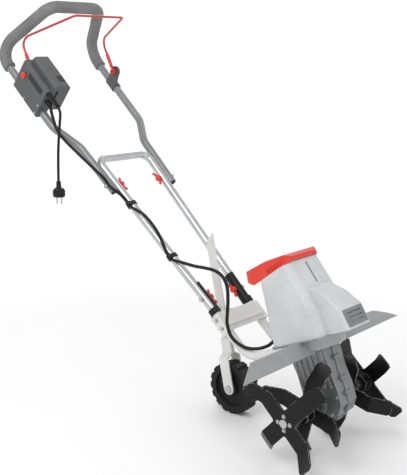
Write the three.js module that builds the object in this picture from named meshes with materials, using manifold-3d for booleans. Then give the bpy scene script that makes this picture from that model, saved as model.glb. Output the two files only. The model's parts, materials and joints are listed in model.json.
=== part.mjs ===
// Electric garden tiller: a motor head on a ribbed worm gearbox, four tine stars on one cross shaft,
// a central wheel on a sliding bar, and a tube handle that folds forward over the motor head.
// Millimetres. +X is the way it travels, +Y its left side, +Z up. The ground is z = 0.
import * as THREE from 'three';
import { mergeVertices } from 'three/addons/utils/BufferGeometryUtils.js';
import Module from 'manifold-3d';

const wasm = await Module();
wasm.setup();

// ---------- Driving dimensions ----------
const GAP = 0.3; // clearance between pieces that touch
const RIGHT = -1;
const LEFT = 1;

// Tine stars and cross shaft
const TINE_ARM = 68; // hub centre to the bend of an arm
const TINE_TIP = 54; // length of the bent end
const TINE_BEND = 38; // bend angle of the end, degrees
const TINE_WIDTH = 40;
const TINE_PLATE = 4;
const TIP_CHAMFER = 7;
const OUTER_STAR_Y = 161;
const INNER_STAR_Y = 78;
const STAR_HUB_R = 22;
const STAR_HUB_LENGTH = 26;
const SHAFT_R = 10;
const OUTER_STAR_TURN = 318; // direction of one arm from the travel direction, degrees
const INNER_STAR_TURN = 257;

// Motor head, in its own leaning frame: u forward, w up along the motor axis, from the cross shaft
const HEAD_LEAN = 23; // degrees
const PLATE_W = 151.6; // underside of the tine guard's flat sheet
const SHEET = 2.2;
const HOOD_REAR = -57;
const HOOD_FRONT = 96;
const HOOD_HALF = 70;
const HOOD_WALL = 3;
const LEDGE_W = 208;
const HOOD_TOP_REAR = 302;
const HOOD_TOP_FRONT = 333;
const NOSE_FRONT = 153;
const NOSE_HALF = 46;
const NOSE_TOP = 236;
const CAP_OVERHANG = 26;
const MOTOR_U = 32; // motor axis ahead of the cross shaft
const MOTOR_R = 40;
const MOTOR_LENGTH = 92;
const GEARBOX_HALF = 32;
const GEARBOX_WALL = 4;
const WORM_WHEEL_R = 22;
const WORM_R = 8;
const MOTOR_BEARING_R = 15;
const BEARING_DEPTH = 12;
const FAN_R = 30;
const GUARD_HALF = 306; // half width of the guard along its lower front edge
const GUARD_TAPER = 62; // how much shorter its upper edge is at each end

// Handle tubes, in the handle's own frame: t up along the tubes, n square to them, forward and up
const TUBE_R = 11;
const TUBE_WALL = 1.5;
const HANDLE_RISE = 40.8; // degrees above level
const HANDLE_FOOT = [-293, 280]; // x and z of the lower end of the middle tube
const FOOT_HALF = 62; // half spacing of the middle tube's legs at their foot
const FOLD_T = 430; // fold axis
const FOLD_HALF = 85; // half spacing of the legs there
const CROSSBAR_T = 523;
const LAP = 22; // upper tube below the fold axis
const UPPER_BEND_T = 571;
const WIDE_T = 650;
const WIDE_HALF = 157;
const GRIP_START_T = 882;
const GRIP_HALF = 163;
const GRIP_TOP_T = 952;
const GRIP_BAR = [921, 183]; // t and n of the crossbar under the foam
const GRIP_BAR_HALF = 86;
const FOAM_R = 16.5;
const LOCK_T = 40; // lower wing bolts
const BOLT_R = 3;
const KNOB_R = 8;
const KNOB_LENGTH = 15;
const SLEEVE_WALL = 3;
const SLEEVE_TOP_T = 84;

// Switch box and squeeze bar
const BOX_T = [706, 828];
const BOX_N = [-14.5, 79];
const BOX_OUTER_Y = -178;
const BOX_SPLIT_Y = -144;
const BOX_INNER_T = [702, 818];
const BOX_INNER_N = [14, 98];
const BOX_INNER_Y = -110;
const BOX_SHELL = 2.5;
const PIVOT = [815, 42]; // t and n of the squeeze bar's axis
const BAIL_HALF = 144;
const BAIL_R = 3.2;
const BAIL_TOP_HALF = 84;
const BAIL_SLEEVE_R = 5;
const EYE_R = 8;
const EYE_THICK = 11;
const STUB_R = 3;
const BUTTON_R = 9;
const BUTTON_TRAVEL = 4;

// Wheel and its bar
const WHEEL_R = 67;
const WHEEL_WIDTH = 36;
const WHEEL_X = -279;
const STRUT_LEAN = 13; // degrees back from upright
const STRUT_WIDTH = 25;
const STRUT_THICK = 5;
const STRUT_FOOT = 84; // wheel axle to the lower end of the bar
const STRUT_TOP = 398; // wheel axle to the tip of the bar
const FORK_THICK = 4;
const FORK_TOP = 128;
const FORK_STEP = 84; // where the fork plates step outwards
const HOLDER = [150, 204]; // the bar's guide, measured from the wheel axle
const AXLE_R = 6;

// Cables
const CORD_R = 3.5;
const CABLE_R = 4.2;
const PLUG_R = 16.5;

// Chin of the guard, base plate and hood openings
const CHIN_HALF = 62;
const CHIN_FRONT = 88;
const CHIN_LOW = 126;
const BASE_THICK = 3;
const CABLE_ENTRY = [-40, PLATE_W + 14.4]; // y and w of the hole in the hood's rear wall

// Motor and drive
const WORM_TEETH = 24;
const ROTOR_R = 22;
const BEARING_TOP_R = 12;
const ROTOR_SHAFT_R = 5;

// Handle feet, sleeves and cable clips
const SLEEVE_LOW_T = -8;
const LEG_FOOT_T = 4;
const CLIP_TS = [358, 177];
const CLIP_HALF = 5;
const CLIP_PLAY = 0.9;
const FRAME_TUBE_END_U = 8;
const FRAME_BEND_R = 62;
const SPIGOT_TOP_T = 62;

// Wheel, fork and cross channel
const FORK_HALF = 15;
const AXLE_HEAD = 4;
const LUGS = 16;
const LUG_DEPTH = 4;
const CHANNEL_T = [-66, -14];
const CHANNEL_SHEET = 3;
const HOLDER_HALF_Y = 9;
const SCREW_R = 4;

// Squeeze bar sleeves, bracket, boots and plug
const BAIL_SLEEVE = [14, 58]; // from the pivot along the rod
const EAR_R = 16;
const CLAMP_T = [PIVOT[0] - 28, PIVOT[0] + 10];
const BOOT_BORE = 13;
const PLUG_TOP = -207; // below the boot's end
const HANG_X = 2.5;
const HANG_Y = -9;
const PIN_R = 2.4;
const PIN_SPACING = 19;

// ---------- Small tools ----------
const rad = THREE.MathUtils.degToRad;
const vec = (x, y, z) => new THREE.Vector3(x, y, z);
const lean = rad(HEAD_LEAN);
const rise = rad(HANDLE_RISE);

const paint = (color, roughness, metalness = 0) =>
  new THREE.MeshStandardMaterial({ color, roughness, metalness });
const finishes = {
  brightTube: () => paint(0xd2d4d6, 0.3, 0.9),
  greyTube: () => paint(0x8d8f92, 0.4, 0.8),
  foam: () => paint(0x6f7072, 0.95),
  darkPlastic: () => paint(0x4b4d4f, 0.6),
  blackPlastic: () => paint(0x151515, 0.55),
  red: () => paint(0xe23322, 0.4),
  hood: () => paint(0xdcdddf, 0.45),
  silver: () => paint(0xa9abae, 0.4, 0.5),
  offWhite: () => paint(0xe4e4e2, 0.5, 0.2),
  castAlloy: () => paint(0x6d6f72, 0.55, 0.7),
  tineBlack: () => paint(0x1b1b1c, 0.5, 0.3),
  steel: () => paint(0xb4b6b8, 0.35, 0.95),
  brass: () => paint(0xb98f45, 0.35, 0.9),
};

// A geometry as a manifold solid, wound outwards, and back.
function solidOf(geometry) {
  const plain = geometry.index ? geometry.toNonIndexed() : geometry;
  const bare = new THREE.BufferGeometry().setAttribute('position', plain.getAttribute('position'));
  const merged = mergeVertices(bare, 1e-4);
  const position = merged.getAttribute('position');
  const corners = [];
  let volume = 0;
  for (let i = 0; i < merged.index.count; i += 3) {
    const face = [0, 1, 2].map((k) => merged.index.getX(i + k));
    if (new Set(face).size < 3) continue;
    const [a, b, c] = face.map((at) => new THREE.Vector3().fromBufferAttribute(position, at));
    volume += a.dot(b.cross(c));
    corners.push(...face);
  }
  if (volume < 0) corners.reverse();
  return new wasm.Manifold(
    new wasm.Mesh({ numProp: 3, vertProperties: position.array, triVerts: new Uint32Array(corners) }),
  );
}

function geometryOf(solid) {
  const mesh = solid.getMesh();
  const geometry = new THREE.BufferGeometry();
  geometry.setAttribute('position', new THREE.BufferAttribute(mesh.vertProperties, mesh.numProp));
  geometry.setIndex(new THREE.BufferAttribute(mesh.triVerts, 1));
  return geometry;
}

const cut = (base, ...tools) =>
  geometryOf(tools.reduce((solid, tool) => solid.subtract(solidOf(tool)), solidOf(base)));
const join = (base, ...others) =>
  geometryOf(others.reduce((solid, other) => solid.add(solidOf(other)), solidOf(base)));
const common = (base, other) => geometryOf(solidOf(base).intersect(solidOf(other)));

function block(low, high) {
  const size = high.map((value, axis) => value - low[axis]);
  return new THREE.BoxGeometry(...size).translate(...low.map((value, axis) => value + size[axis] / 2));
}

// A round bar from one point to another.
function bar(from, to, radius, sides = 16, topRadius = radius) {
  const along = to.clone().sub(from);
  const geometry = new THREE.CylinderGeometry(topRadius, radius, along.length(), sides);
  geometry.applyQuaternion(
    new THREE.Quaternion().setFromUnitVectors(vec(0, 1, 0), along.clone().normalize()),
  );
  return geometry.translate(...from.clone().add(to).multiplyScalar(0.5).toArray());
}

const barY = (x, z, fromY, toY, radius, sides, topRadius) =>
  bar(vec(x, Math.min(fromY, toY), z), vec(x, Math.max(fromY, toY), z), radius, sides, topRadius);

// A turned solid about the Z axis: a closed profile of [radius, height] points.
const turned = (profile, sides) =>
  new THREE.LatheGeometry(profile.map(([r, h]) => new THREE.Vector2(r, h)), sides).rotateX(Math.PI / 2);

const turnedY = (profile, sides) =>
  new THREE.LatheGeometry(profile.map(([r, h]) => new THREE.Vector2(r, h)), sides);

const ringProfile = (inner, outer, low, high) =>
  [[inner, low], [outer, low], [outer, high], [inner, high], [inner, low]];

// An outline of [x, z] points, made a plate between two y values.
function plateY(outline, fromY, toY, holes = []) {
  const shape = new THREE.Shape(outline.map(([x, z]) => new THREE.Vector2(x, z)));
  holes.forEach(([x, z, r]) => shape.holes.push(new THREE.Path().absarc(x, z, r, 0, 2 * Math.PI, true)));
  const plate = new THREE.ExtrudeGeometry(shape, { depth: toY - fromY, bevelEnabled: false,
    curveSegments: 8 });
  return plate.rotateX(Math.PI / 2).translate(0, toY, 0);
}

// A path through given points, with one step of a sweep for each stretch between them.
class PointPath extends THREE.Curve {
  constructor(points) {
    super();
    this.points = points;
  }
  getPoint(at, target = new THREE.Vector3()) {
    const place = at * (this.points.length - 1);
    const index = Math.min(Math.floor(place), this.points.length - 2);
    return target.lerpVectors(this.points[index], this.points[index + 1], place - index);
  }
  getPointAt(at, target) {
    return this.getPoint(at, target);
  }
  getTangentAt(at, target = new THREE.Vector3()) {
    const last = this.points.length - 1;
    const index = Math.round(at * last);
    const before = this.points[Math.max(index - 1, 0)];
    const after = this.points[Math.min(index + 1, last)];
    const here = this.points[index];
    const into = here.clone().sub(before).normalize();
    const out = after.clone().sub(here).normalize();
    return target.addVectors(into, out).normalize();
  }
}

// Corner points with each inner corner rounded to its radius.
function rounded(corners, radii, degreesPerStep = 20) {
  const points = [corners[0]];
  for (let i = 1; i < corners.length - 1; i += 1) {
    const into = corners[i].clone().sub(corners[i - 1]).normalize();
    const out = corners[i + 1].clone().sub(corners[i]).normalize();
    const bend = into.angleTo(out);
    const steps = Math.max(2, Math.round(THREE.MathUtils.radToDeg(bend) / degreesPerStep));
    const back = radii[i - 1] * Math.tan(bend / 2);
    const start = corners[i].clone().addScaledVector(into, -back);
    const inward = out.clone().addScaledVector(into, -out.dot(into)).normalize();
    const centre = start.clone().addScaledVector(inward, radii[i - 1]);
    for (let k = 0; k <= steps; k += 1) {
      const turn = (bend * k) / steps;
      points.push(
        centre.clone()
          .addScaledVector(inward, -radii[i - 1] * Math.cos(turn))
          .addScaledVector(into, radii[i - 1] * Math.sin(turn)),
      );
    }
  }
  points.push(corners[corners.length - 1]);
  return points;
}

// A round section swept through points; with a bore it is a tube with open ends.
function sweep(points, radius, sides = 12, bore = 0) {
  const circle = (r) => {
    const spots = [];
    for (let i = 0; i < sides; i += 1) {
      const turn = (2 * Math.PI * i) / sides;
      spots.push(new THREE.Vector2(r * Math.cos(turn), r * Math.sin(turn)));
    }
    return spots;
  };
  const shape = new THREE.Shape(circle(radius));
  if (bore > 0) shape.holes.push(new THREE.Path(circle(bore).reverse()));
  return new THREE.ExtrudeGeometry(shape, {
    steps: points.length - 1,
    extrudePath: new PointPath(points),
    bevelEnabled: false,
  });
}

// A smooth cord through hand-chosen points, in even steps.
const cordPoints = (points, steps) => new THREE.CatmullRomCurve3(points, false,
  'centripetal').getSpacedPoints(steps);

// A solid lofted through rings that have the same number of points, with flat ends.
function loft(rings) {
  const count = rings[0].length;
  const positions = rings.flat().flatMap((point) => point.toArray());
  const index = [];
  for (let level = 0; level < rings.length - 1; level += 1) {
    for (let i = 0; i < count; i += 1) {
      const a = level * count + i;
      const b = level * count + ((i + 1) % count);
      index.push(a, b, b + count, a, b + count, a + count);
    }
  }
  const last = (rings.length - 1) * count;
  for (let i = 1; i < count - 1; i += 1) {
    index.push(0, i + 1, i);
    index.push(last, last + i, last + i + 1);
  }
  const geometry = new THREE.BufferGeometry();
  geometry.setAttribute('position', new THREE.Float32BufferAttribute(positions, 3));
  geometry.setIndex(index);
  return geometry;
}

// A level ring of a hood: a rectangle with round corners, seen from above.
function hoodRing(w, rear, front, half, corner, cornerSteps = 4) {
  const centres = [
    [front - corner, -half + corner, -90],
    [front - corner, half - corner, 0],
    [rear + corner, half - corner, 90],
    [rear + corner, -half + corner, 180],
  ];
  return centres.flatMap(([u, y, start]) => {
    const points = [];
    for (let k = 0; k <= cornerSteps; k += 1) {
      const turn = rad(start + (90 * k) / cornerSteps);
      points.push(vec(u + corner * Math.cos(turn), y + corner * Math.sin(turn), w));
    }
    return points;
  });
}

// ---------- Frames ----------
const machine = new THREE.Group();
const head = new THREE.Group();
const handle = new THREE.Group();
const wheelGroup = new THREE.Group();
machine.add(head, handle, wheelGroup);

function add(group, name, geometry, finish) {
  const mesh = new THREE.Mesh(geometryOf(solidOf(geometry)), finish());
  mesh.name = name;
  group.add(mesh);
  return mesh;
}

// Points of the handle's frame: t runs up the tubes.
const ht = (t, n, y) => vec(-t, y, n);
const sideName = (side) => (side === RIGHT ? 'right' : 'left');

// ---------- Tine stars ----------
const tipReach = TINE_ARM + TINE_TIP * Math.cos(rad(TINE_BEND));
const tipEdge = tipReach + (TINE_PLATE / 2) * Math.sin(rad(TINE_BEND));
const SHAFT_HEIGHT = Math.hypot(tipEdge, TINE_WIDTH / 2 - TIP_CHAMFER);

// One arm along +X in the plane y = 0: a flat blade whose end turns towards one side.
function tineArm(turnedTo) {
  const half = TINE_PLATE / 2;
  const bend = rad(TINE_BEND);
  const section = (x, y, width, offX, offY) => [
    vec(x - offX, y - offY, -width / 2), vec(x - offX, y - offY, width / 2),
    vec(x + offX, y + offY, width / 2), vec(x + offX, y + offY, -width / 2),
  ];
  const bent = (length, width) => section(TINE_ARM + length * Math.cos(bend),
    turnedTo * length * Math.sin(bend), width, -turnedTo * half * Math.sin(bend), half * Math.cos(bend));
  return loft([
    section(0, 0, TINE_WIDTH, 0, half),
    section(TINE_ARM, 0, TINE_WIDTH, -turnedTo * half * Math.tan(bend / 2), half),
    bent(TINE_TIP - TIP_CHAMFER, TINE_WIDTH),
    bent(TINE_TIP, TINE_WIDTH - 2 * TIP_CHAMFER),
  ]);
}

function tineStar(turn, firstSide, hubToward) {
  const arms = [0, 1, 2, 3].map((arm) =>
    tineArm(arm % 2 === 0 ? firstSide : -firstSide).rotateY(-rad(turn + 90 * arm)));
  const flange = barY(0, 0, -TINE_PLATE / 2, TINE_PLATE / 2, TINE_WIDTH * 0.78, 8);
  const hub = barY(0, 0, 0, hubToward * STAR_HUB_LENGTH, STAR_HUB_R, 20);
  const bore = barY(0, 0, -STAR_HUB_LENGTH * 2, STAR_HUB_LENGTH * 2, SHAFT_R + GAP, 20);
  return cut(join(arms[0], arms[1], arms[2], arms[3], flange, hub), bore);
}

const stars = [
  ['tine_star_outer_right', -OUTER_STAR_Y, OUTER_STAR_TURN, RIGHT, LEFT],
  ['tine_star_inner_right', -INNER_STAR_Y, INNER_STAR_TURN, LEFT, RIGHT],
  ['tine_star_inner_left', INNER_STAR_Y, INNER_STAR_TURN, RIGHT, LEFT],
  ['tine_star_outer_left', OUTER_STAR_Y, OUTER_STAR_TURN, LEFT, RIGHT],
];
for (const [name, y, turn, firstSide, hubToward] of stars) {
  const star = add(machine, name, tineStar(turn, firstSide, hubToward), finishes.tineBlack);
  star.position.set(0, y, SHAFT_HEIGHT);
}

// ---------- Motor head ----------
head.position.set(0, 0, SHAFT_HEIGHT);
head.rotation.y = -lean;

const shaftHalf = OUTER_STAR_Y + TINE_PLATE / 2 + 4;
add(head, 'tine_shaft', barY(0, 0, -shaftHalf, shaftHalf, SHAFT_R, 20), finishes.steel);

const bearingHalf = 7;
const bearingY = GEARBOX_HALF - bearingHalf;
const bearingOuterR = 17;
for (const side of [RIGHT, LEFT]) {
  const ring = turnedY(ringProfile(SHAFT_R + GAP, bearingOuterR, -bearingHalf, bearingHalf), 20);
  add(head, `shaft_bearing_${sideName(side)}`, ring.translate(0, side * bearingY, 0), finishes.steel);
}

// The worm wheel sits on the shaft between the bearings; each tooth is a small trapezium.
function wormWheel() {
  const outline = [];
  for (let tooth = 0; tooth < WORM_TEETH; tooth += 1) {
    for (const [share, radius] of [[0, -2], [0.3, -2], [0.45, 0], [0.8, 0]]) {
      const turn = (2 * Math.PI * (tooth + share)) / WORM_TEETH;
      outline.push([(WORM_WHEEL_R + radius) * Math.cos(turn), (WORM_WHEEL_R + radius) * Math.sin(turn)]);
    }
  }
  return plateY(outline, -6, 6, [[0, 0, SHAFT_R + GAP]]);
}
add(head, 'worm_wheel', wormWheel(), finishes.brass);

// Gearbox: two cast halves with ribs, split on the middle plane, hollow for the wheel and the worm.
const gearboxTop = PLATE_W - GAP;
const gearboxOutline = [
  [-38, gearboxTop], [-38, 96], [-30, 40], [-34, 20], [-34, -14], [-20, -34], [14, -40],
  [44, -32], [62, -8], [64, 30], [60, 66], [62, gearboxTop],
];
const ribUs = [-30, -14, 2, 18, 34, 50];
function gearboxHalf(side) {
  const [low, high] = side === LEFT ? [GAP / 2, GEARBOX_HALF] : [-GEARBOX_HALF, -GAP / 2];
  const shell = plateY(gearboxOutline, low, high);
  const ribs = ribUs.map((u) =>
    block([u - 2.5, side * GEARBOX_HALF - 3, 34], [u + 2.5, side * GEARBOX_HALF + 3, gearboxTop]));
  const boss = barY(0, 0, side * (GEARBOX_HALF - 3), side * (GEARBOX_HALF + 6), bearingOuterR + 6, 20);
  const cavityHalf = bearingY - bearingHalf - GAP;
  const wheelRoom = barY(0, 0, -cavityHalf, cavityHalf, WORM_WHEEL_R + 4, 20);
  const wormRoom = bar(vec(MOTOR_U, 0, -26), vec(MOTOR_U, 0, gearboxTop + 5), WORM_R + 4, 16);
  const seat = barY(0, 0, -GEARBOX_HALF - GAP, GEARBOX_HALF + GAP, bearingOuterR + GAP, 20);
  const shaftHole = barY(0, 0, -60, 60, SHAFT_R + 2, 20);
  const bearingRoom = bar(vec(MOTOR_U, 0, gearboxTop - BEARING_DEPTH), vec(MOTOR_U, 0, gearboxTop + 5),
    MOTOR_BEARING_R + GAP, 20);
  return cut(join(shell, boss, ...ribs), wheelRoom, wormRoom, seat, shaftHole, bearingRoom);
}
for (const side of [RIGHT, LEFT]) {
  add(head, `gearbox_${sideName(side)}`, gearboxHalf(side), finishes.castAlloy);
}

// Tine guard: a flat sheet over the gearbox, with a wing each side that bends down at the front and a
// rounded chin that goes round the gearbox.
const sheetTop = PLATE_W + SHEET;
function guardWings() {
  const folds = [
    [14, sheetTop - 14, GUARD_HALF - GUARD_TAPER - 24],
    [20, sheetTop, GUARD_HALF - GUARD_TAPER - 10],
    [31, sheetTop, GUARD_HALF - GUARD_TAPER],
    [46, sheetTop - 17, GUARD_HALF - GUARD_TAPER * 0.42],
    [55, 122, GUARD_HALF],
  ];
  const rings = folds.map(([u, w, half], fold) => {
    const before = folds[Math.max(fold - 1, 0)];
    const after = folds[Math.min(fold + 1, folds.length - 1)];
    const along = new THREE.Vector2(after[0] - before[0], after[1] - before[1]).normalize();
    const inU = u + along.y * SHEET;
    const inW = w - along.x * SHEET;
    return [vec(u, -half, w), vec(u, half, w), vec(inU, half, inW), vec(inU, -half, inW)];
  });
  return loft(rings);
}
function chinOutline(inset) {
  const points = [];
  for (let k = 0; k <= 10; k += 1) {
    const turn = rad(-90 + 18 * k);
    const u = 34 + (CHIN_FRONT - 34 - inset) * Math.cos(turn);
    points.push([u, (CHIN_HALF - inset) * Math.sin(turn)]);
  }
  return points;
}
const chinRing = (w, inset, rear) =>
  [...chinOutline(inset).map(([u, y]) => vec(u, y, w)), vec(rear, CHIN_HALF - inset, w),
    vec(rear, -CHIN_HALF + inset, w)];
const guardFlat = loft([PLATE_W, sheetTop].map((w) =>
  hoodRing(w, HOOD_REAR - 3, HOOD_FRONT + 4, HOOD_HALF + 3, 20)));
const chin = cut(
  loft([chinRing(CHIN_LOW, 0, 20), chinRing(sheetTop - 0.5, -6, 20)]),
  loft([chinRing(CHIN_LOW - 5, SHEET, 0), chinRing(PLATE_W, SHEET - 6, 0)]),
);
const wingNotch = loft([chinRing(CHIN_LOW - 20, 0.5, -20), chinRing(PLATE_W, -4, -20)]);
const wormHole = bar(vec(MOTOR_U, 0, PLATE_W - 5), vec(MOTOR_U, 0, sheetTop + 5), MOTOR_BEARING_R + 2, 16);
add(head, 'tine_guard', cut(join(cut(guardWings(), wingNotch), guardFlat, chin), wormHole),
  finishes.silver);

// Base plate of the motor, on the guard's sheet.
const baseLow = sheetTop + GAP;
const baseTop = baseLow + BASE_THICK;
const basePlate = loft([baseLow, baseTop].map((w) =>
  hoodRing(w, HOOD_REAR + 5, HOOD_FRONT - 5, HOOD_HALF - 6, 16)));
add(head, 'base_plate', cut(basePlate, wormHole.clone().translate(0, 0, SHEET + GAP)), finishes.steel);

// Motor hood: a body that narrows upwards, with a nose in front, open below and on top.
const hoodLow = sheetTop + GAP;
const frontAt = (w) => HOOD_FRONT - (Math.max(w - LEDGE_W, 0) / (HOOD_TOP_FRONT - LEDGE_W)) * 34;
function hoodBody(inset, low, high) {
  const level = (w, extra) =>
    hoodRing(w, HOOD_REAR + (w - hoodLow) * 0.07 + inset + extra, frontAt(w) - inset - extra,
      HOOD_HALF - inset - extra, 24 - inset);
  return loft([level(low, 0), level(LEDGE_W - inset, 0), level(LEDGE_W + 5 - inset, 2), level(290, 3.5),
    level(high, 5)]);
}
function hoodNose(inset, low) {
  const ring = (w, front, half, corner) => hoodRing(w, 40, front - inset, half - inset, corner);
  return loft([
    ring(low, NOSE_FRONT, NOSE_HALF, 8),
    ring(200 - inset, NOSE_FRONT - 8, NOSE_HALF - 1, 8),
    ring(NOSE_TOP - inset, NOSE_FRONT - 34, NOSE_HALF - 4, 10),
    ring(NOSE_TOP + 28 - inset, NOSE_FRONT - 68, NOSE_HALF - 8, 12),
  ]);
}
const topSlope = Math.atan2(HOOD_TOP_FRONT - HOOD_TOP_REAR, frontAt(HOOD_TOP_FRONT) - HOOD_REAR);
// Everything above the sloping top edge of the hood.
function aboveTopEdge(lift) {
  const reach = 300;
  return block([-reach, -reach, 0], [reach, reach, reach]).rotateY(-topSlope)
    .translate(HOOD_REAR, 0, HOOD_TOP_REAR + lift);
}
const VENT = { halfY: NOSE_HALF - 8, lowW: PLATE_W + 7, highW: PLATE_W + 47 };
const ventSlope = Math.atan2(8, 200 - hoodLow);
const ventOpening = block([-30, -VENT.halfY, 0], [30, VENT.halfY, VENT.highW - VENT.lowW])
  .rotateY(-ventSlope).translate(NOSE_FRONT - 2, 0, VENT.lowW);
const slotCuts = [];
for (let i = 0; i < 6; i += 1) {
  const w = LEDGE_W + 40 + i * 7;
  slotCuts.push(block([HOOD_REAR - 20, -32, w], [HOOD_REAR + 24, 32, w + 3]));
}
const cableHole = bar(vec(HOOD_REAR - 20, ...CABLE_ENTRY), vec(HOOD_REAR + 20, ...CABLE_ENTRY),
  CABLE_R + 2, 16);
const hood = cut(
  join(hoodBody(0, hoodLow, 345), hoodNose(0, hoodLow)),
  join(hoodBody(HOOD_WALL, hoodLow - 5, 350), hoodNose(HOOD_WALL, hoodLow - 5)),
  aboveTopEdge(0), ventOpening, cableHole, ...slotCuts,
);
add(head, 'motor_housing', hood, finishes.hood);

// Front grille in the nose.
const grille = block([-3, -VENT.halfY + GAP, GAP], [1.5, VENT.halfY - GAP, VENT.highW - VENT.lowW - GAP]);
const grilleSlots = [0, 1, 2].map((i) => block([-5, -25, 9 + i * 10], [5, 25, 12 + i * 10]));
add(head, 'vent_insert', cut(grille, ...grilleSlots).rotateY(-ventSlope)
  .translate(NOSE_FRONT - 1.4, 0, VENT.lowW), finishes.darkPlastic);

// Red top cap: a shallow hood that overhangs the rear, its underside on the hood's sloping edge.
const capSeat = (u, lift) => HOOD_TOP_REAR + (u - HOOD_REAR) * Math.tan(topSlope) + lift;
const capFront = frontAt(HOOD_TOP_FRONT) - 1;
function capSide(inset, lift) {
  const rear = HOOD_REAR - CAP_OVERHANG + inset;
  return [
    [rear, capSeat(rear, 22 + lift)], [HOOD_REAR + inset + 4, capSeat(HOOD_REAR + 4, lift)],
    [capFront - inset, capSeat(capFront, lift)], [capFront + 2 - inset, 343 - inset],
    [capFront - 10, 351 - inset], [-4, 349 - inset], [rear + 6, 337 - inset],
  ];
}
const capHalf = HOOD_HALF - 2;
// Plan of the cap: round corners, and sides that lean in a little towards the top.
const capPlan = (inset) => loft([
  hoodRing(280, HOOD_REAR - CAP_OVERHANG + inset, capFront + 4 - inset, capHalf - inset, 20),
  hoodRing(360, HOOD_REAR - CAP_OVERHANG + inset + 6, capFront + 1 - inset, capHalf - inset - 8, 20),
]);
const cap = common(plateY(capSide(0, GAP), -capHalf, capHalf), capPlan(0));
const capHollow = common(plateY(capSide(HOOD_WALL, -14), -capHalf, capHalf), capPlan(HOOD_WALL));
const capSlots = [];
for (let i = 0; i < 8; i += 1) {
  const u = -4 + i * 7;
  capSlots.push(block([u, -capHalf - 5, capSeat(u, 4)], [u + 3, -capHalf + 8, capSeat(u, 15)]));
  capSlots.push(block([u, capHalf - 8, capSeat(u, 4)], [u + 3, capHalf + 5, capSeat(u, 15)]));
}
add(head, 'top_cap', cut(cap, capHollow, ...capSlots), finishes.red);

// Motor inside the hood, on the base plate; its shaft ends in the worm.
const motorLow = baseTop + GAP + 6;
const motorHigh = motorLow + MOTOR_LENGTH;
const motorFoot = bar(vec(MOTOR_U, 0, baseTop + GAP), vec(MOTOR_U, 0, motorLow + 1), MOTOR_R - 6, 20);
const bearingTopLow = motorHigh - 12;
const axisBar = (low, high, radius, sides = 20) =>
  bar(vec(MOTOR_U, 0, low), vec(MOTOR_U, 0, high), radius, sides);
const stator = cut(
  join(axisBar(motorLow, motorHigh, MOTOR_R, 24), motorFoot),
  axisBar(baseTop - 5, bearingTopLow - 4, ROTOR_R + 2),
  axisBar(bearingTopLow - 6, motorHigh + 5, BEARING_TOP_R + GAP),
);
add(head, 'motor_stator', stator, finishes.steel);

const fanLow = motorHigh + 6;
const fanTop = fanLow + 12;
const rotor = turned([
  [0, -22], [WORM_R - 2, -22], [WORM_R - 2, -16], [WORM_R, -14], [WORM_R, 18], [WORM_R - 2, 20],
  [ROTOR_SHAFT_R, 24], [ROTOR_SHAFT_R, motorLow + 12], [ROTOR_R, motorLow + 14], [ROTOR_R, motorHigh - 34],
  [14, motorHigh - 32], [14, motorHigh - 22], [ROTOR_SHAFT_R, motorHigh - 20], [ROTOR_SHAFT_R, fanTop + 2],
  [0, fanTop + 2],
], 20).translate(MOTOR_U, 0, 0);
add(head, 'motor_rotor', rotor, finishes.steel);

const bearingRing = (radius, low, high) =>
  turned(ringProfile(ROTOR_SHAFT_R + GAP, radius, low, high), 20).translate(MOTOR_U, 0, 0);
add(head, 'motor_bearing_lower',
  bearingRing(MOTOR_BEARING_R, gearboxTop - BEARING_DEPTH + GAP, gearboxTop), finishes.steel);
add(head, 'motor_bearing_upper', bearingRing(BEARING_TOP_R, bearingTopLow, motorHigh - 2), finishes.steel);

// Cooling fan: a disc with blades above the motor.
const fanDisc = turned(ringProfile(ROTOR_SHAFT_R + GAP, FAN_R, fanLow, fanLow + 2), 24);
const fanHub = turned(ringProfile(ROTOR_SHAFT_R + GAP, 10, fanLow, fanTop), 24);
const blades = [];
for (let i = 0; i < 9; i += 1) {
  blades.push(block([8, -1, fanLow + 1], [FAN_R - 1, 1, fanTop]).rotateZ((2 * Math.PI * i) / 9));
}
add(head, 'cooling_fan', join(fanDisc, fanHub, ...blades).translate(MOTOR_U, 0, 0), finishes.blackPlastic);

// ---------- Handle ----------
const roundTube = (radius) => (radius + GAP) / Math.cos(Math.PI / 12); // bore that clears a 12-sided tube
handle.position.set(HANDLE_FOOT[0], 0, HANDLE_FOOT[1]);
handle.rotation.y = rise;
const splay = (FOLD_HALF - FOOT_HALF) / FOLD_T;
const legY = (t) => FOOT_HALF + splay * t;
const upperY = (t) => legY(t) + 2 * TUBE_R + 0.8;

const middlePath = rounded(
  [ht(4, 0, -legY(4)), ht(CROSSBAR_T, 0, -legY(CROSSBAR_T)), ht(CROSSBAR_T, 0, legY(CROSSBAR_T)),
    ht(4, 0, legY(4))],
  [28, 28],
);
const upperHalfPath = [
  ht(FOLD_T - LAP, 0, -upperY(FOLD_T - LAP)), ht(UPPER_BEND_T, 0, -upperY(UPPER_BEND_T)),
  ht(WIDE_T, 0, -WIDE_HALF), ht(GRIP_TOP_T, 2, -GRIP_HALF), ht(...GRIP_BAR, -GRIP_BAR_HALF),
];
const mirrored = (points) => points.map((point) => vec(point.x, -point.y, point.z)).reverse();
const upperPath = rounded([...upperHalfPath, ...mirrored(upperHalfPath)],
  [60, 60, 50, 42, 42, 50, 60, 60]);

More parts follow.
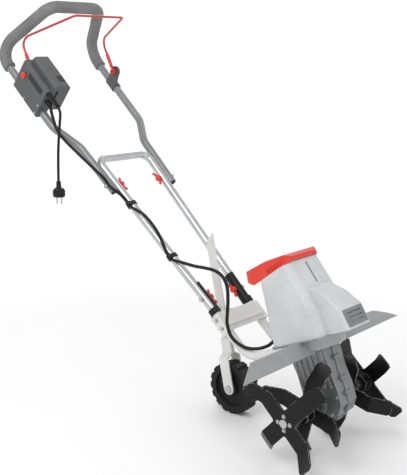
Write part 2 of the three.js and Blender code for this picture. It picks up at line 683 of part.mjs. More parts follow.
// Bolt holes across both tubes at a leg.
const crossHole = (t, side) => barY(-t, 0, side * 20, side * 180, BOLT_R + GAP, 10);
const holes = [RIGHT, LEFT].flatMap((side) => [crossHole(FOLD_T, side), crossHole(LOCK_T, side)]);
add(handle, 'middle_tube', cut(sweep(middlePath, TUBE_R, 12, TUBE_R - TUBE_WALL), ...holes),
  finishes.brightTube);
add(handle, 'upper_tube', cut(sweep(upperPath, TUBE_R, 12, TUBE_R - TUBE_WALL), holes[0], holes[2]),
  finishes.greyTube);

// Foam sleeve over the grip, following the tube under it.
const foamStart = upperHalfPath[2].clone().lerp(upperHalfPath[3],
  (GRIP_START_T - WIDE_T) / (GRIP_TOP_T - WIDE_T));
const foamPath = rounded(
  [foamStart, upperHalfPath[3], upperHalfPath[4], ...mirrored([foamStart, upperHalfPath[3],
    upperHalfPath[4]])],
  [50, 42, 42, 50],
);
add(handle, 'foam_grip', sweep(foamPath, FOAM_R, 12, roundTube(TUBE_R)), finishes.foam);

// Wing bolts: a bolt through the tubes from outside, and a winged knob inside. The knob's seat is how
// far it stands off the middle leg.
const knobFace = (t, seat) => legY(t) - TUBE_R - seat;
const boltReach = KNOB_LENGTH * 0.5;
function wingKnob(t, side, seat) {
  const face = knobFace(t, seat);
  const hub = barY(-t, 0, side * face, side * (face - KNOB_LENGTH * 0.65), KNOB_R, 12);
  const wingOutline = [
    [-19, 15], [-8, 9.5], [8, 9.5], [19, 15], [22, 11], [10, 2], [-10, 2], [-22, 11],
  ].map(([x, y]) => new THREE.Vector2(x, -side * y));
  const wings = new THREE.ExtrudeGeometry(new THREE.Shape(wingOutline), { depth: 4, bevelEnabled: false })
    .translate(-t, side * face, -2);
  const hole = barY(-t, 0, side * (face + 1), side * (face - boltReach), BOLT_R + GAP, 10);
  return cut(join(hub, wings), hole);
}
function clampBolt(t, side, seat, outerY) {
  const tip = knobFace(t, seat) - boltReach + GAP;
  const shank = barY(-t, 0, side * tip, side * (outerY + GAP + 1), BOLT_R, 10);
  const boltHead = barY(-t, 0, side * (outerY + GAP), side * (outerY + GAP + 5), 2 * BOLT_R, 12);
  return join(shank, boltHead);
}
const upperSeat = GAP + KNOB_R * splay;
const lowerSeat = roundTube(TUBE_R) - TUBE_R + SLEEVE_WALL + GAP + KNOB_R * splay;
for (const side of [RIGHT, LEFT]) {
  const name = sideName(side);
  add(handle, `wing_knob_upper_${name}`, wingKnob(FOLD_T, side, upperSeat), finishes.red);
  add(handle, `wing_knob_lower_${name}`, wingKnob(LOCK_T, side, lowerSeat), finishes.red);
  add(handle, `clamp_bolt_upper_${name}`, clampBolt(FOLD_T, side, upperSeat, upperY(FOLD_T) + TUBE_R),
    finishes.steel);
  add(handle, `clamp_bolt_lower_${name}`, clampBolt(LOCK_T, side, lowerSeat, legY(LOCK_T) + TUBE_R),
    finishes.steel);
}

// Things that sit on a leg are drawn along +Z with +X up and forward, then turned to lie along the leg.
const splayAngle = Math.atan(splay);
const onLeg = (geometry, t, side) =>
  geometry.rotateX(-side * splayAngle).rotateY(-Math.PI / 2).translate(-t, side * legY(t), 0);

// Plastic sleeve at the foot of each leg: a ring the leg stands on, and a half shell up its inner side.
const SPIGOT_R = (TUBE_R - TUBE_WALL) * Math.cos(Math.PI / 12) - GAP;
function tubeSleeve(side) {
  const bore = roundTube(TUBE_R);
  const ringHeight = LEG_FOOT_T - SLEEVE_LOW_T - GAP;
  const ring = turned(ringProfile(roundTube(SPIGOT_R), bore + SLEEVE_WALL, 0, ringHeight), 24);
  const collar = turned(ringProfile(bore, bore + SLEEVE_WALL, ringHeight - 2,
    SLEEVE_TOP_T - SLEEVE_LOW_T), 24);
  const outside = block([-30, -30, ringHeight + 3], [30, 0, SLEEVE_TOP_T * 2]);
  const sleeve = cut(join(ring, collar), outside);
  if (side === LEFT) sleeve.rotateZ(Math.PI);
  return cut(onLeg(sleeve, SLEEVE_LOW_T, side), crossHole(LOCK_T, side));
}
for (const side of [RIGHT, LEFT]) {
  add(handle, `tube_sleeve_${sideName(side)}`, tubeSleeve(side), finishes.blackPlastic);
}

// Cable clips: a band round the right leg with a small loop on its outer side for the motor cable.
const clipOuter = roundTube(TUBE_R) + 2;
const cableOff = clipOuter + CABLE_R + CLIP_PLAY;
const cableTurn = rad(25);
function cableClip(t) {
  const band = turned(ringProfile(roundTube(TUBE_R), clipOuter, -CLIP_HALF, CLIP_HALF), 24);
  const loopBore = (CABLE_R + CLIP_PLAY) / Math.cos(Math.PI / 8);
  const loop = turned(ringProfile(loopBore, loopBore + 2, -CLIP_HALF, CLIP_HALF), 16)
    .translate(cableOff * Math.sin(cableTurn), -cableOff * Math.cos(cableTurn), 0);
  const legRoom = bar(vec(0, 0, -2 * CLIP_HALF), vec(0, 0, 2 * CLIP_HALF), roundTube(TUBE_R), 24);
  return onLeg(cut(join(band, loop), legRoom), t, RIGHT);
}
add(handle, 'cable_clip_upper', cableClip(CLIP_TS[0]), finishes.blackPlastic);
add(handle, 'cable_clip_lower', cableClip(CLIP_TS[1]), finishes.blackPlastic);

// ---------- Frame tubes ----------
// A spigot up inside each leg, then down and forward to end under the guard's sheet.
machine.updateMatrixWorld(true);
const toMachine = (group, point) => point.clone().applyMatrix4(group.matrixWorld);
const placed = (group, geometry) => geometry.clone().applyMatrix4(group.matrixWorld);
const handlePoint = (t, n, y) => toMachine(handle, ht(t, n, y));
const headPoint = (u, w, y) => toMachine(head, vec(u, y, w));
const frameTubeW = PLATE_W - TUBE_R - 2 * GAP;
// Where the handle's line meets the line of the tubes under the hood.
function frameCorner(y) {
  const top = handlePoint(0, 0, y);
  const foot = headPoint(FRAME_TUBE_END_U, frameTubeW, y);
  const down = vec(Math.cos(rise), 0, -Math.sin(rise));
  const along = vec(Math.cos(lean), 0, Math.sin(lean));
  const across = foot.clone().sub(top);
  const reach = (across.x * along.z - across.z * along.x) / (down.x * along.z - down.z * along.x);
  return top.addScaledVector(down, reach);
}
for (const side of [RIGHT, LEFT]) {
  const y = side * FOOT_HALF;
  const tubePath = (fromT, toU) =>
    rounded([handlePoint(fromT, 0, y), frameCorner(y), headPoint(toU, frameTubeW, y)], [FRAME_BEND_R]);
  const spigotEnd = (t) => handlePoint(t, 0, side * legY(t));
  const spigot = sweep([spigotEnd(SLEEVE_LOW_T - 12), spigotEnd(SPIGOT_TOP_T)], SPIGOT_R, 12);
  const lockHole = bar(handlePoint(LOCK_T, 0, side * 20), handlePoint(LOCK_T, 0, side * 100),
    BOLT_R + 2 * GAP, 10);
  const tube = cut(sweep(tubePath(SLEEVE_LOW_T - GAP - 15 * splay, FRAME_TUBE_END_U), TUBE_R, 12),
    sweep(tubePath(SLEEVE_LOW_T - 25, FRAME_TUBE_END_U + 5), TUBE_R - TUBE_WALL, 12));
  add(machine, `frame_tube_${sideName(side)}`, cut(join(tube, spigot), lockHole), finishes.offWhite);
}

// ---------- Wheel and its bar, drawn along the bar from the wheel axle ----------
const strutLean = rad(STRUT_LEAN);
wheelGroup.position.set(WHEEL_X, 0, WHEEL_R);
wheelGroup.rotation.y = -strutLean;
machine.updateMatrixWorld(true);
const strutHalf = STRUT_WIDTH / 2;
const strutOutline = [
  [-strutHalf, STRUT_FOOT], [strutHalf, STRUT_FOOT], [strutHalf, STRUT_TOP], [-strutHalf, STRUT_TOP - 22],
];
add(wheelGroup, 'wheel_strut', plateY(strutOutline, -STRUT_THICK / 2, STRUT_THICK / 2), finishes.offWhite);

const forkIn = STRUT_THICK / 2 + GAP;
const forkOut = WHEEL_WIDTH / 2 + 2.5;
const forkStepLow = WHEEL_R + 8;
function forkPlate(side) {
  const profile = [
    [forkIn, FORK_TOP], [forkIn, forkStepLow + 14], [forkOut, forkStepLow + 2], [forkOut, 0],
    [forkOut + FORK_THICK, 0], [forkOut + FORK_THICK, forkStepLow + 4.5],
    [forkIn + FORK_THICK, forkStepLow + 16.5], [forkIn + FORK_THICK, FORK_TOP],
  ].map(([y, z]) => new THREE.Vector2(side * y, z));
  const plate = new THREE.ExtrudeGeometry(new THREE.Shape(profile),
    { depth: 2 * FORK_HALF, bevelEnabled: false })
    .rotateX(Math.PI / 2).rotateZ(Math.PI / 2).translate(-FORK_HALF, 0, 0);
  const foot = barY(0, 0, side * forkOut, side * (forkOut + FORK_THICK), FORK_HALF, 24);
  const axleHole = barY(0, 0, side * 10, side * 60, AXLE_R + GAP, 16);
  return cut(join(plate, foot), axleHole);
}
for (const side of [RIGHT, LEFT]) {
  add(wheelGroup, `fork_plate_${sideName(side)}`, forkPlate(side), finishes.offWhite);
}
const axleFace = forkOut + FORK_THICK + GAP;
add(wheelGroup, 'wheel_axle', join(
  barY(0, 0, -axleFace - 1, axleFace + 1, AXLE_R, 16),
  barY(0, 0, -axleFace - AXLE_HEAD, -axleFace, AXLE_R * 1.6, 12),
  barY(0, 0, axleFace, axleFace + AXLE_HEAD, AXLE_R * 1.6, 12),
), finishes.steel);

// The tyre has square lugs; a corner of one lug is the lowest point.
function tyreOutline() {
  const outline = [];
  for (let lug = 0; lug < LUGS; lug += 1) {
    for (const [share, radius] of [[0, WHEEL_R], [0.55, WHEEL_R], [0.6, WHEEL_R - LUG_DEPTH],
      [0.95, WHEEL_R - LUG_DEPTH]]) {
      const turn = rad(-90 + STRUT_LEAN * -1) + (2 * Math.PI * (lug + share)) / LUGS;
      outline.push([radius * Math.cos(turn), radius * Math.sin(turn)]);
    }
  }
  return outline;
}
const wheelHalf = WHEEL_WIDTH / 2;
const dish = (side) => turnedY(ringProfile(WHEEL_R * 0.3, WHEEL_R * 0.72, 0, 9), 28)
  .translate(0, side === LEFT ? wheelHalf - 8 : -wheelHalf - 1, 0);
add(wheelGroup, 'wheel', cut(plateY(tyreOutline(), -wheelHalf, wheelHalf), dish(RIGHT), dish(LEFT),
  barY(0, 0, -wheelHalf * 2, wheelHalf * 2, AXLE_R + GAP, 16)), finishes.blackPlastic);

// Cross channel: a folded sheet over both frame tubes, with a guide behind it for the wheel bar.
const channelTop = TUBE_R + GAP + CHANNEL_SHEET;
const flangeY = FOOT_HALF + TUBE_R + GAP;
const onHandle = (geometry) => placed(handle, geometry);
const channelPlate = block([-CHANNEL_T[1], -flangeY - CHANNEL_SHEET, channelTop - CHANNEL_SHEET],
  [-CHANNEL_T[0], flangeY + CHANNEL_SHEET, channelTop]);
const channelRidge = plateY([[46, channelTop - 1], [50, channelTop + 4], [54, channelTop + 4],
  [58, channelTop - 1]],
  -flangeY + 10, flangeY - 10);
const channelFlanges = [RIGHT, LEFT].map((side) => block(
  [-CHANNEL_T[1], Math.min(side * flangeY, side * (flangeY + CHANNEL_SHEET)), -TUBE_R - 2],
  [-CHANNEL_T[0], Math.max(side * flangeY, side * (flangeY + CHANNEL_SHEET)), channelTop - 1]));
const holderX = strutHalf + GAP + 6;
const holder = placed(wheelGroup, block([-holderX, -HOLDER_HALF_Y, HOLDER[0]],
  [holderX, HOLDER_HALF_Y, HOLDER[1]]));
const strutRoom = placed(wheelGroup, block([-strutHalf - GAP, -STRUT_THICK / 2 - GAP, HOLDER[0] - 10],
  [strutHalf + GAP, STRUT_THICK / 2 + GAP, HOLDER[1] + 10]));
const holderMid = (HOLDER[0] + HOLDER[1]) / 2;
const screwRoom = placed(wheelGroup, bar(vec(-holderX - 5, 0, holderMid), vec(-strutHalf, 0, holderMid),
  SCREW_R + GAP, 12));
const webOutline = [
  toMachine(wheelGroup, vec(holderX - 5, 0, HOLDER[1] - 1)),
    toMachine(wheelGroup, vec(holderX - 5, 0, HOLDER[0] + 4)),
  handlePoint(CHANNEL_T[0] + 6, channelTop - 1, 0), handlePoint(CHANNEL_T[1] - 6, channelTop - 1, 0),
].map((point) => [point.x, point.z]);
const webs = [[-HOLDER_HALF_Y, -HOLDER_HALF_Y + 4], [HOLDER_HALF_Y - 4, HOLDER_HALF_Y]]
  .map(([low, high]) => plateY(webOutline, low, high));
add(machine, 'cross_channel', cut(
  join(onHandle(channelPlate), onHandle(channelRidge), ...channelFlanges.map(onHandle), holder, ...webs),
  strutRoom, screwRoom,
), finishes.offWhite);

const screwHead = plateY([0, 1, 2, 3, 4, 5, 6, 7, 8, 9, 10, 11].map((k) => {
  const reach = k % 2 ? 12 : 9;
  return [reach * Math.cos(k * Math.PI / 6), reach * Math.sin(k * Math.PI / 6)];
}), 0, 12).rotateZ(-Math.PI / 2).translate(-holderX - 14, 0, holderMid);
add(wheelGroup, 'strut_screw', join(
  bar(vec(-holderX - 4, 0, holderMid), vec(-strutHalf - 2 * GAP, 0, holderMid), SCREW_R, 12), screwHead,
), finishes.blackPlastic);

// ---------- Switch box ----------
// A prism along the handle with a section of [y, n] points.
const prism = (section, fromT, toT) => loft([fromT, toT].map((t) => section.map(([y, n]) => ht(t, n, y))));
const rectangle = ([lowY, highY], [lowN, highN]) =>
  [[lowY, lowN], [highY, lowN], [highY, highN], [lowY, highN]];
const tubeRoom = sweep([upperHalfPath[2], upperHalfPath[3]], roundTube(TUBE_R), 12);
const solidTopT = PIVOT[0] - 22; // above here the box is solid round the squeeze bar's eye
const bailY = -BAIL_HALF;
const eyeRoom = prism(rectangle([bailY - EYE_THICK / 2 - GAP, bailY + EYE_THICK / 2 + GAP],
  [PIVOT[1] - EYE_R - 1, PIVOT[1] + 21]), PIVOT[0] - EYE_R - 1, BOX_T[1] + 10);
const stubReach = EYE_THICK / 2 + 5;
const stubRoom = barY(-PIVOT[0], PIVOT[1], bailY - stubReach - GAP, bailY + stubReach + GAP,
  STUB_R + GAP, 12);
const buttonAt = [-PIVOT[0] + 9, PIVOT[1] + 2];
const buttonHeadDepth = 6;
const buttonStemDepth = 14;
const buttonRoom = join(
  barY(...buttonAt, BOX_OUTER_Y - 5, BOX_OUTER_Y + buttonHeadDepth + BUTTON_TRAVEL + GAP, BUTTON_R + GAP,
    20),
  barY(...buttonAt, BOX_OUTER_Y, BOX_OUTER_Y + buttonStemDepth + BUTTON_TRAVEL + GAP, 4 + GAP, 12),
);
const CORD_BOOT = { from: [BOX_T[0] - 1.8, 67, -168], to: [BOX_T[0] - 53, 74, -174], radius: 7.5 };
const CABLE_BOOT = { from: [BOX_T[0] - 1.5, 42, -161], to: [BOX_T[0] - 18, 41, -162.5], radius: 8 };
const outerSection = [
  [BOX_OUTER_Y, BOX_N[0] + 4], [BOX_OUTER_Y + 4, BOX_N[0]], [BOX_SPLIT_Y, BOX_N[0]],
    [BOX_SPLIT_Y, BOX_N[1]],
  [BOX_OUTER_Y + 6, BOX_N[1]], [BOX_OUTER_Y, BOX_N[1] - 4],
];
const outerShell = cut(
  prism(outerSection, ...BOX_T),
  prism(rectangle([BOX_OUTER_Y + BOX_SHELL, BOX_SPLIT_Y + 5], [BOX_N[0] + BOX_SHELL, BOX_N[1] - BOX_SHELL]),
    BOX_T[0] + BOX_SHELL, solidTopT),
  tubeRoom, eyeRoom, stubRoom, buttonRoom,
);
add(handle, 'switch_box_outer', outerShell, finishes.darkPlastic);

const innerLow = BOX_SPLIT_Y + GAP;
const innerSection = [
  [innerLow, BOX_INNER_N[0]], [BOX_INNER_Y - 5, BOX_INNER_N[0]], [BOX_INNER_Y, BOX_INNER_N[0] + 5],
  [BOX_INNER_Y, BOX_INNER_N[1] - 7], [BOX_INNER_Y - 7, BOX_INNER_N[1]], [innerLow, BOX_INNER_N[1]],
];
const hoodSection = [
  [innerLow - 18, BOX_N[1] + GAP], [innerLow + 1, BOX_N[1] + GAP], [innerLow + 1, BOX_INNER_N[1]],
  [innerLow - 12, BOX_INNER_N[1]], [innerLow - 18, BOX_INNER_N[1] - 6],
];
add(handle, 'switch_box_inner', cut(
  join(prism(innerSection, ...BOX_INNER_T), prism(hoodSection, ...BOX_INNER_T)),
  prism(rectangle([innerLow - 1, BOX_INNER_Y - BOX_SHELL],
    [BOX_INNER_N[0] + BOX_SHELL, BOX_INNER_N[1] - BOX_SHELL]),
    BOX_INNER_T[0] + BOX_SHELL, solidTopT),
  eyeRoom, stubRoom, tubeRoom,
), finishes.darkPlastic);

add(handle, 'lock_button', join(
  barY(...buttonAt, BOX_OUTER_Y - BUTTON_TRAVEL - 1, BOX_OUTER_Y + buttonHeadDepth, BUTTON_R, 20),
  barY(...buttonAt, BOX_OUTER_Y, BOX_OUTER_Y + buttonStemDepth, 4, 12),
), finishes.red);
add(handle, 'microswitch', prism(rectangle([-170, -152], [26, 42]), 742, 770), finishes.blackPlastic);

// ---------- Squeeze bar ----------
const bailHalfPath = [
  ht(...PIVOT, bailY), ht(PIVOT[0] + 95, PIVOT[1] + 38, bailY),
    ht(PIVOT[0] + 11, PIVOT[1] + 188, -BAIL_TOP_HALF),
];
const bailPath = rounded([...bailHalfPath, ...mirrored(bailHalfPath)], [25, 12, 12, 25], 25);
const bailEye = (side) => join(
  barY(-PIVOT[0], PIVOT[1], side * (BAIL_HALF - EYE_THICK / 2), side * (BAIL_HALF + EYE_THICK / 2),
    EYE_R, 16),
  barY(-PIVOT[0], PIVOT[1], side * (BAIL_HALF - stubReach), side * (BAIL_HALF + stubReach), STUB_R, 12),
);
add(handle, 'bail_rod', join(sweep(bailPath, BAIL_R, 8), bailEye(RIGHT), bailEye(LEFT)), finishes.red);
function bailSleeve(side) {
  const along = bailHalfPath[1].clone().sub(bailHalfPath[0]).normalize();
  const ends = BAIL_SLEEVE.map((reach) =>
    bailHalfPath[0].clone().addScaledVector(along, reach).setY(side * BAIL_HALF));
  return sweep(ends, BAIL_SLEEVE_R, 12, (BAIL_R + GAP) / Math.cos(Math.PI / 8));
}
add(handle, 'bail_sleeve_right', bailSleeve(RIGHT), finishes.red);
add(handle, 'bail_sleeve_left', bailSleeve(LEFT), finishes.red);

// Clamp on the left tube with an ear that carries the other end of the squeeze bar.
const earY = [BAIL_HALF + EYE_THICK / 2 + GAP, BAIL_HALF + EYE_THICK / 2 + GAP + 6.5];
const leftTube = mirrored([upperHalfPath[2], upperHalfPath[3]]).reverse();
const tubeAt = (t) => leftTube[0].clone().lerp(leftTube[1], (t - WIDE_T) / (GRIP_TOP_T - WIDE_T));
const ear = join(
  barY(-PIVOT[0], PIVOT[1], ...earY, EAR_R, 24),
  plateY([[-CLAMP_T[0], 4], [-CLAMP_T[1], 4], [-PIVOT[0] - EAR_R, PIVOT[1]],
    [-PIVOT[0] + EAR_R - 3, PIVOT[1] + 9]], ...earY),
);
const leftRoom = sweep(leftTube, roundTube(TUBE_R), 12);
add(handle, 'bail_bracket', cut(
  join(sweep(CLAMP_T.map(tubeAt), roundTube(TUBE_R) + 3.2, 16), ear),
  leftRoom, barY(-PIVOT[0], PIVOT[1], BAIL_HALF, BAIL_HALF + 30, STUB_R + GAP, 12),
), finishes.darkPlastic);

// ---------- Cables ----------
const bootPoint = (boot, which) => ht(...boot[which]);
function cableBoot(boot, cableRadius, boreLength) {
  const from = bootPoint(boot, 'from');
  const to = bootPoint(boot, 'to');
  const inward = from.clone().sub(to).normalize();
  return cut(
    bar(from, to, boot.radius, 14, boot.radius - 2),
    bar(to.clone().addScaledVector(inward, -2), to.clone().addScaledVector(inward, boreLength),
      (cableRadius + 3 * GAP) / Math.cos(Math.PI / 8), 12),
  );
}
add(handle, 'cord_boot', cableBoot(CORD_BOOT, CORD_R, BOOT_BORE), finishes.blackPlastic);
add(handle, 'cable_boot', cableBoot(CABLE_BOOT, CABLE_R, BOOT_BORE), finishes.blackPlastic);
// Where a cable starts: inside the boot, a little short of the end of its bore.
function bootStart(boot) {
  const to = bootPoint(boot, 'to');
  return to.clone().addScaledVector(bootPoint(boot, 'from').sub(to).normalize(), BOOT_BORE - 1);
}

// The supply cord leaves its boot along the handle and hangs straight down, the plug at its end.
const hangFrom = toMachine(handle, bootPoint(CORD_BOOT, 'to'));
const hangAt = (x, y, z) => hangFrom.clone().add(vec(x, y, z));
const cordRoute = [
  toMachine(handle, bootStart(CORD_BOOT)), hangFrom, hangAt(14, -4, -14), hangAt(14, -7, -46),
  hangAt(8, -9, -100), hangAt(4, -9, -150), hangAt(HANG_X, HANG_Y, -190), hangAt(HANG_X, HANG_Y, PLUG_TOP),
];
add(machine, 'supply_cord', sweep(cordPoints(cordRoute, 14), CORD_R, 8), finishes.blackPlastic);
const plugBase = hangAt(HANG_X, HANG_Y, PLUG_TOP - 28);
const plugProfile = [
  [0, 0], [15, 0], [PLUG_R, 4], [PLUG_R, 16], [13, 22], [7, 25], [6, 41], [CORD_R + 2 * GAP, 41],
    [CORD_R + 2 * GAP, 27],
  [0, 27],
];
const pinBar = (at, low, high, radius) => bar(vec(at, 0, low), vec(at, 0, high), radius, 10);
const pinSpots = [-PIN_SPACING / 2, PIN_SPACING / 2];
const onPlug = (geometry) => geometry.translate(...plugBase.toArray());
add(machine, 'plug_body', onPlug(cut(turned(plugProfile, 20),
  ...pinSpots.map((at) => pinBar(at, -5, 10 + GAP, PIN_R + GAP)))), finishes.blackPlastic);
pinSpots.forEach((at, index) => {
  add(machine, `plug_pin_${index + 1}`, onPlug(pinBar(at, -19, 10, PIN_R)), finishes.steel);
});

// The motor cable: one stretch on the upper handle, one on the lower part, open for a hand's width at
// the fold so that neither is dragged when the handle folds.
const clipPoint = (t, along) =>
  ht(t + along, cableOff * Math.sin(cableTurn), -legY(t + along) - cableOff * Math.cos(cableTurn));
const upperRoute = [
  bootStart(CABLE_BOOT), bootPoint(CABLE_BOOT, 'to'), ht(664, 32, -166), ht(626, 18, -168),
    ht(590, 17, -166),
  ht(535, 21, -158), ht(488, 24, -149), ht(436, 26, -137.5),
];
add(handle, 'motor_cable_upper', sweep(cordPoints(upperRoute, 16), CABLE_R, 8), finishes.blackPlastic);
const lowerRoute = [
  ht(424, 16, -127), ht(405, 18, -125), ht(385, 15, -110), clipPoint(CLIP_TS[0], 9),
    clipPoint(CLIP_TS[0], -9),
  ht(299, 29, -98), ht(240, 26, -92), clipPoint(CLIP_TS[1], 9), clipPoint(CLIP_TS[1], -9), ht(140, 28, -86),
  ht(108, 53, -85), ht(80, 79, -85), ht(58, 97, -85), ht(35, 106, -85), ht(10, 101, -85), ht(-15, 80, -86),
  ht(-35, 55, -86), ht(-55, 31, -86), ht(-85, 16, -84), ht(-120, 19, -72), ht(-142, 36, -58),
].map((point) => toMachine(handle, point)).concat([
  headPoint(-82, PLATE_W + 6, -45), headPoint(-66, PLATE_W + 13, -40.5),
  headPoint(HOOD_REAR - 1, CABLE_ENTRY[1], CABLE_ENTRY[0]),
    headPoint(HOOD_REAR + 8, CABLE_ENTRY[1], CABLE_ENTRY[0]),
]);
add(machine, 'motor_cable_lower', sweep(cordPoints(lowerRoute, 44), CABLE_R, 8), finishes.blackPlastic);

// ---------- Origin: the middle of the foot of the machine's own box ----------
machine.updateMatrixWorld(true);
const cordNames = ['supply_cord', 'plug_body', 'plug_pin_1', 'plug_pin_2'];
const machineBox = new THREE.Box3();
machine.traverse((part) => {
  if (part.isMesh && !cordNames.includes(part.name)) machineBox.union(new THREE.Box3().setFromObject(part, true));
});
machine.position.x = -(machineBox.min.x + machineBox.max.x) / 2;
machine.position.z = -machineBox.min.z;
machine.updateMatrixWorld(true);

const tiller = new THREE.Group();
tiller.name = 'garden_tiller';
tiller.add(machine);
tiller.updateMatrixWorld(true);

export default tiller;
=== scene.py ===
# %% [markdown]
# # Electric garden tiller
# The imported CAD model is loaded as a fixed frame. Each of its nodes gets a refined skin, the round and
# soft pieces are swept again finely, and small fittings are added. Lengths are in metres.

# %% Load the frame
import bmesh
import bpy
import json
import math
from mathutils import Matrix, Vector

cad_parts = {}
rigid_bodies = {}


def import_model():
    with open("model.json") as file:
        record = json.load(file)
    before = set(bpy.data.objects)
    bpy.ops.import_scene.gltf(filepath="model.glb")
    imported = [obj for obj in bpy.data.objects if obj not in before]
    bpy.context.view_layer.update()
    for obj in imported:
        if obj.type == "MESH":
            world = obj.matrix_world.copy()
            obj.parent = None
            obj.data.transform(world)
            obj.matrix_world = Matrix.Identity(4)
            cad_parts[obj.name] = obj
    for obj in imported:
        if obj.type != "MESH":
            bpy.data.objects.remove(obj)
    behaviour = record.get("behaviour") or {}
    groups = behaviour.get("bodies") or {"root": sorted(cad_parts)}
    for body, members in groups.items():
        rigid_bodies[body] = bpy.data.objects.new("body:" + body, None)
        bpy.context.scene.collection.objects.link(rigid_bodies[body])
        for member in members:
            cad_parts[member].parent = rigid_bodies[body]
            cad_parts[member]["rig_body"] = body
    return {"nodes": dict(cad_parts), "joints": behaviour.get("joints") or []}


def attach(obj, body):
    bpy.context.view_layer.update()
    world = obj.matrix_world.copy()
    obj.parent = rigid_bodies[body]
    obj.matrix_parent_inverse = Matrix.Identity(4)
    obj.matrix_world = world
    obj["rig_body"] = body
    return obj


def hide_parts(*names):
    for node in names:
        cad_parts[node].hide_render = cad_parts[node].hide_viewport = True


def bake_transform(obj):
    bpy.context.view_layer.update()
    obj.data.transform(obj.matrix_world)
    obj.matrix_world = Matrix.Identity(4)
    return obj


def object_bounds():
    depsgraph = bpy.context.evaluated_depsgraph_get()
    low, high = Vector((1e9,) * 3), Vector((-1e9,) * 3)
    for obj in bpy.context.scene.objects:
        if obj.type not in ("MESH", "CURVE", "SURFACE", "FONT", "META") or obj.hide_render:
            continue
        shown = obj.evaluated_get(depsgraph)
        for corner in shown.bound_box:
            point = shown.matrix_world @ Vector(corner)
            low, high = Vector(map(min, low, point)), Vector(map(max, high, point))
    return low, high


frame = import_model()
cad_box = [list(corner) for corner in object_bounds()]
nodes = frame["nodes"]
joints = {joint["name"]: joint for joint in frame["joints"]}
print("nodes", len(nodes), "box", cad_box)

# %% [markdown]
# ## Frames
# The handle's frame has t up along its tubes and n square to them, forward and up. The head's frame has
# u forward and w up along the motor. Both are in metres, with y to the left.

# %% Frames
HANDLE_RISE = math.radians(40.8)
HEAD_LEAN = math.radians(23)
FOLD_T = 0.430
fold = Vector(joints["handle_fold"]["pos_m"])
shaft = Vector(joints["tine_spin"]["pos_m"])
up_handle = Vector((-math.cos(HANDLE_RISE), 0, math.sin(HANDLE_RISE)))
out_handle = Vector((math.sin(HANDLE_RISE), 0, math.cos(HANDLE_RISE)))
along_head = Vector((math.cos(HEAD_LEAN), 0, math.sin(HEAD_LEAN)))
up_head = Vector((-math.sin(HEAD_LEAN), 0, math.cos(HEAD_LEAN)))
SIDE = Vector((0, 1, 0))


def on_handle(t, n, y):
    return fold + up_handle * (t - FOLD_T) + out_handle * n + SIDE * y


def on_head(u, w, y):
    return shaft + along_head * u + up_head * w + SIDE * y


print("fold", tuple(fold), "shaft", tuple(shaft))

# %% [markdown]
# ## Camera
# It stands in front of the machine on its right side, a little lower than the grip, and looks down at it.

# %% Camera
CAMERA_AHEAD, CAMERA_ASIDE, CAMERA_HEIGHT = 0.973, -1.479, 0.897
CAMERA_DOWN, CAMERA_TURN = 12.8, 42.6
SENSOR_MM, LENS_MM = 36, 71.7
camera = bpy.data.objects.new("camera", bpy.data.cameras.new("camera"))
bpy.context.scene.collection.objects.link(camera)
camera.location = shaft + Vector((CAMERA_AHEAD, CAMERA_ASIDE, CAMERA_HEIGHT - shaft.z))
camera.rotation_euler = (math.radians(90 - CAMERA_DOWN), 0, math.radians(CAMERA_TURN))
camera.data.sensor_fit = "HORIZONTAL"
camera.data.sensor_width = SENSOR_MM
camera.data.lens = LENS_MM
camera.data.dof.use_dof = False
bpy.context.scene.camera = camera
print("camera", tuple(camera.location))

# %% [markdown]
# ## Shared tools
# Small functions that make a mesh object, sweep a section, fillet a path and set how a mesh is shaded.

# %% Shared tools
MERGE_WITHIN = 1e-6
FLAT_WITHIN = math.radians(0.1)
BEVEL_SEGMENTS = 2
ROUTE_SUBSTEPS = 24
materials = {}


def bare_object(name, mesh):
    made = bpy.data.objects.new(name, mesh)
    bpy.context.scene.collection.objects.link(made)
    return made


def as_mesh(made):
    """Takes an object's modifiers into its mesh and clears them."""
    evaluated = made.evaluated_get(bpy.context.evaluated_depsgraph_get())
    mesh = bpy.data.meshes.new_from_object(evaluated)
    made.modifiers.clear()
    made.data = mesh


def shade(made, angle):
    """Smooth shading, with edges sharper than angle in degrees kept sharp."""
    mesh = made.data
    mesh.shade_smooth()
    mesh.set_sharp_from_angle(angle=math.radians(angle))
    return made


def solid(name, built, angle=40):
    """A shaded object from a bmesh, which is freed."""
    mesh = bpy.data.meshes.new(name)
    built.to_mesh(mesh)
    built.free()
    return shade(bare_object(name, mesh), angle)


def dress(made, body, paint, *stands_for):
    """Gives a piece its material and its body, and hides the CAD nodes that it stands for."""
    made.data.materials.clear()
    made.data.materials.append(materials[paint])
    for face in made.data.polygons:
        face.material_index = 0
    if body:
        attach(made, body)
    if stands_for:
        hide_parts(*stands_for)
    return made


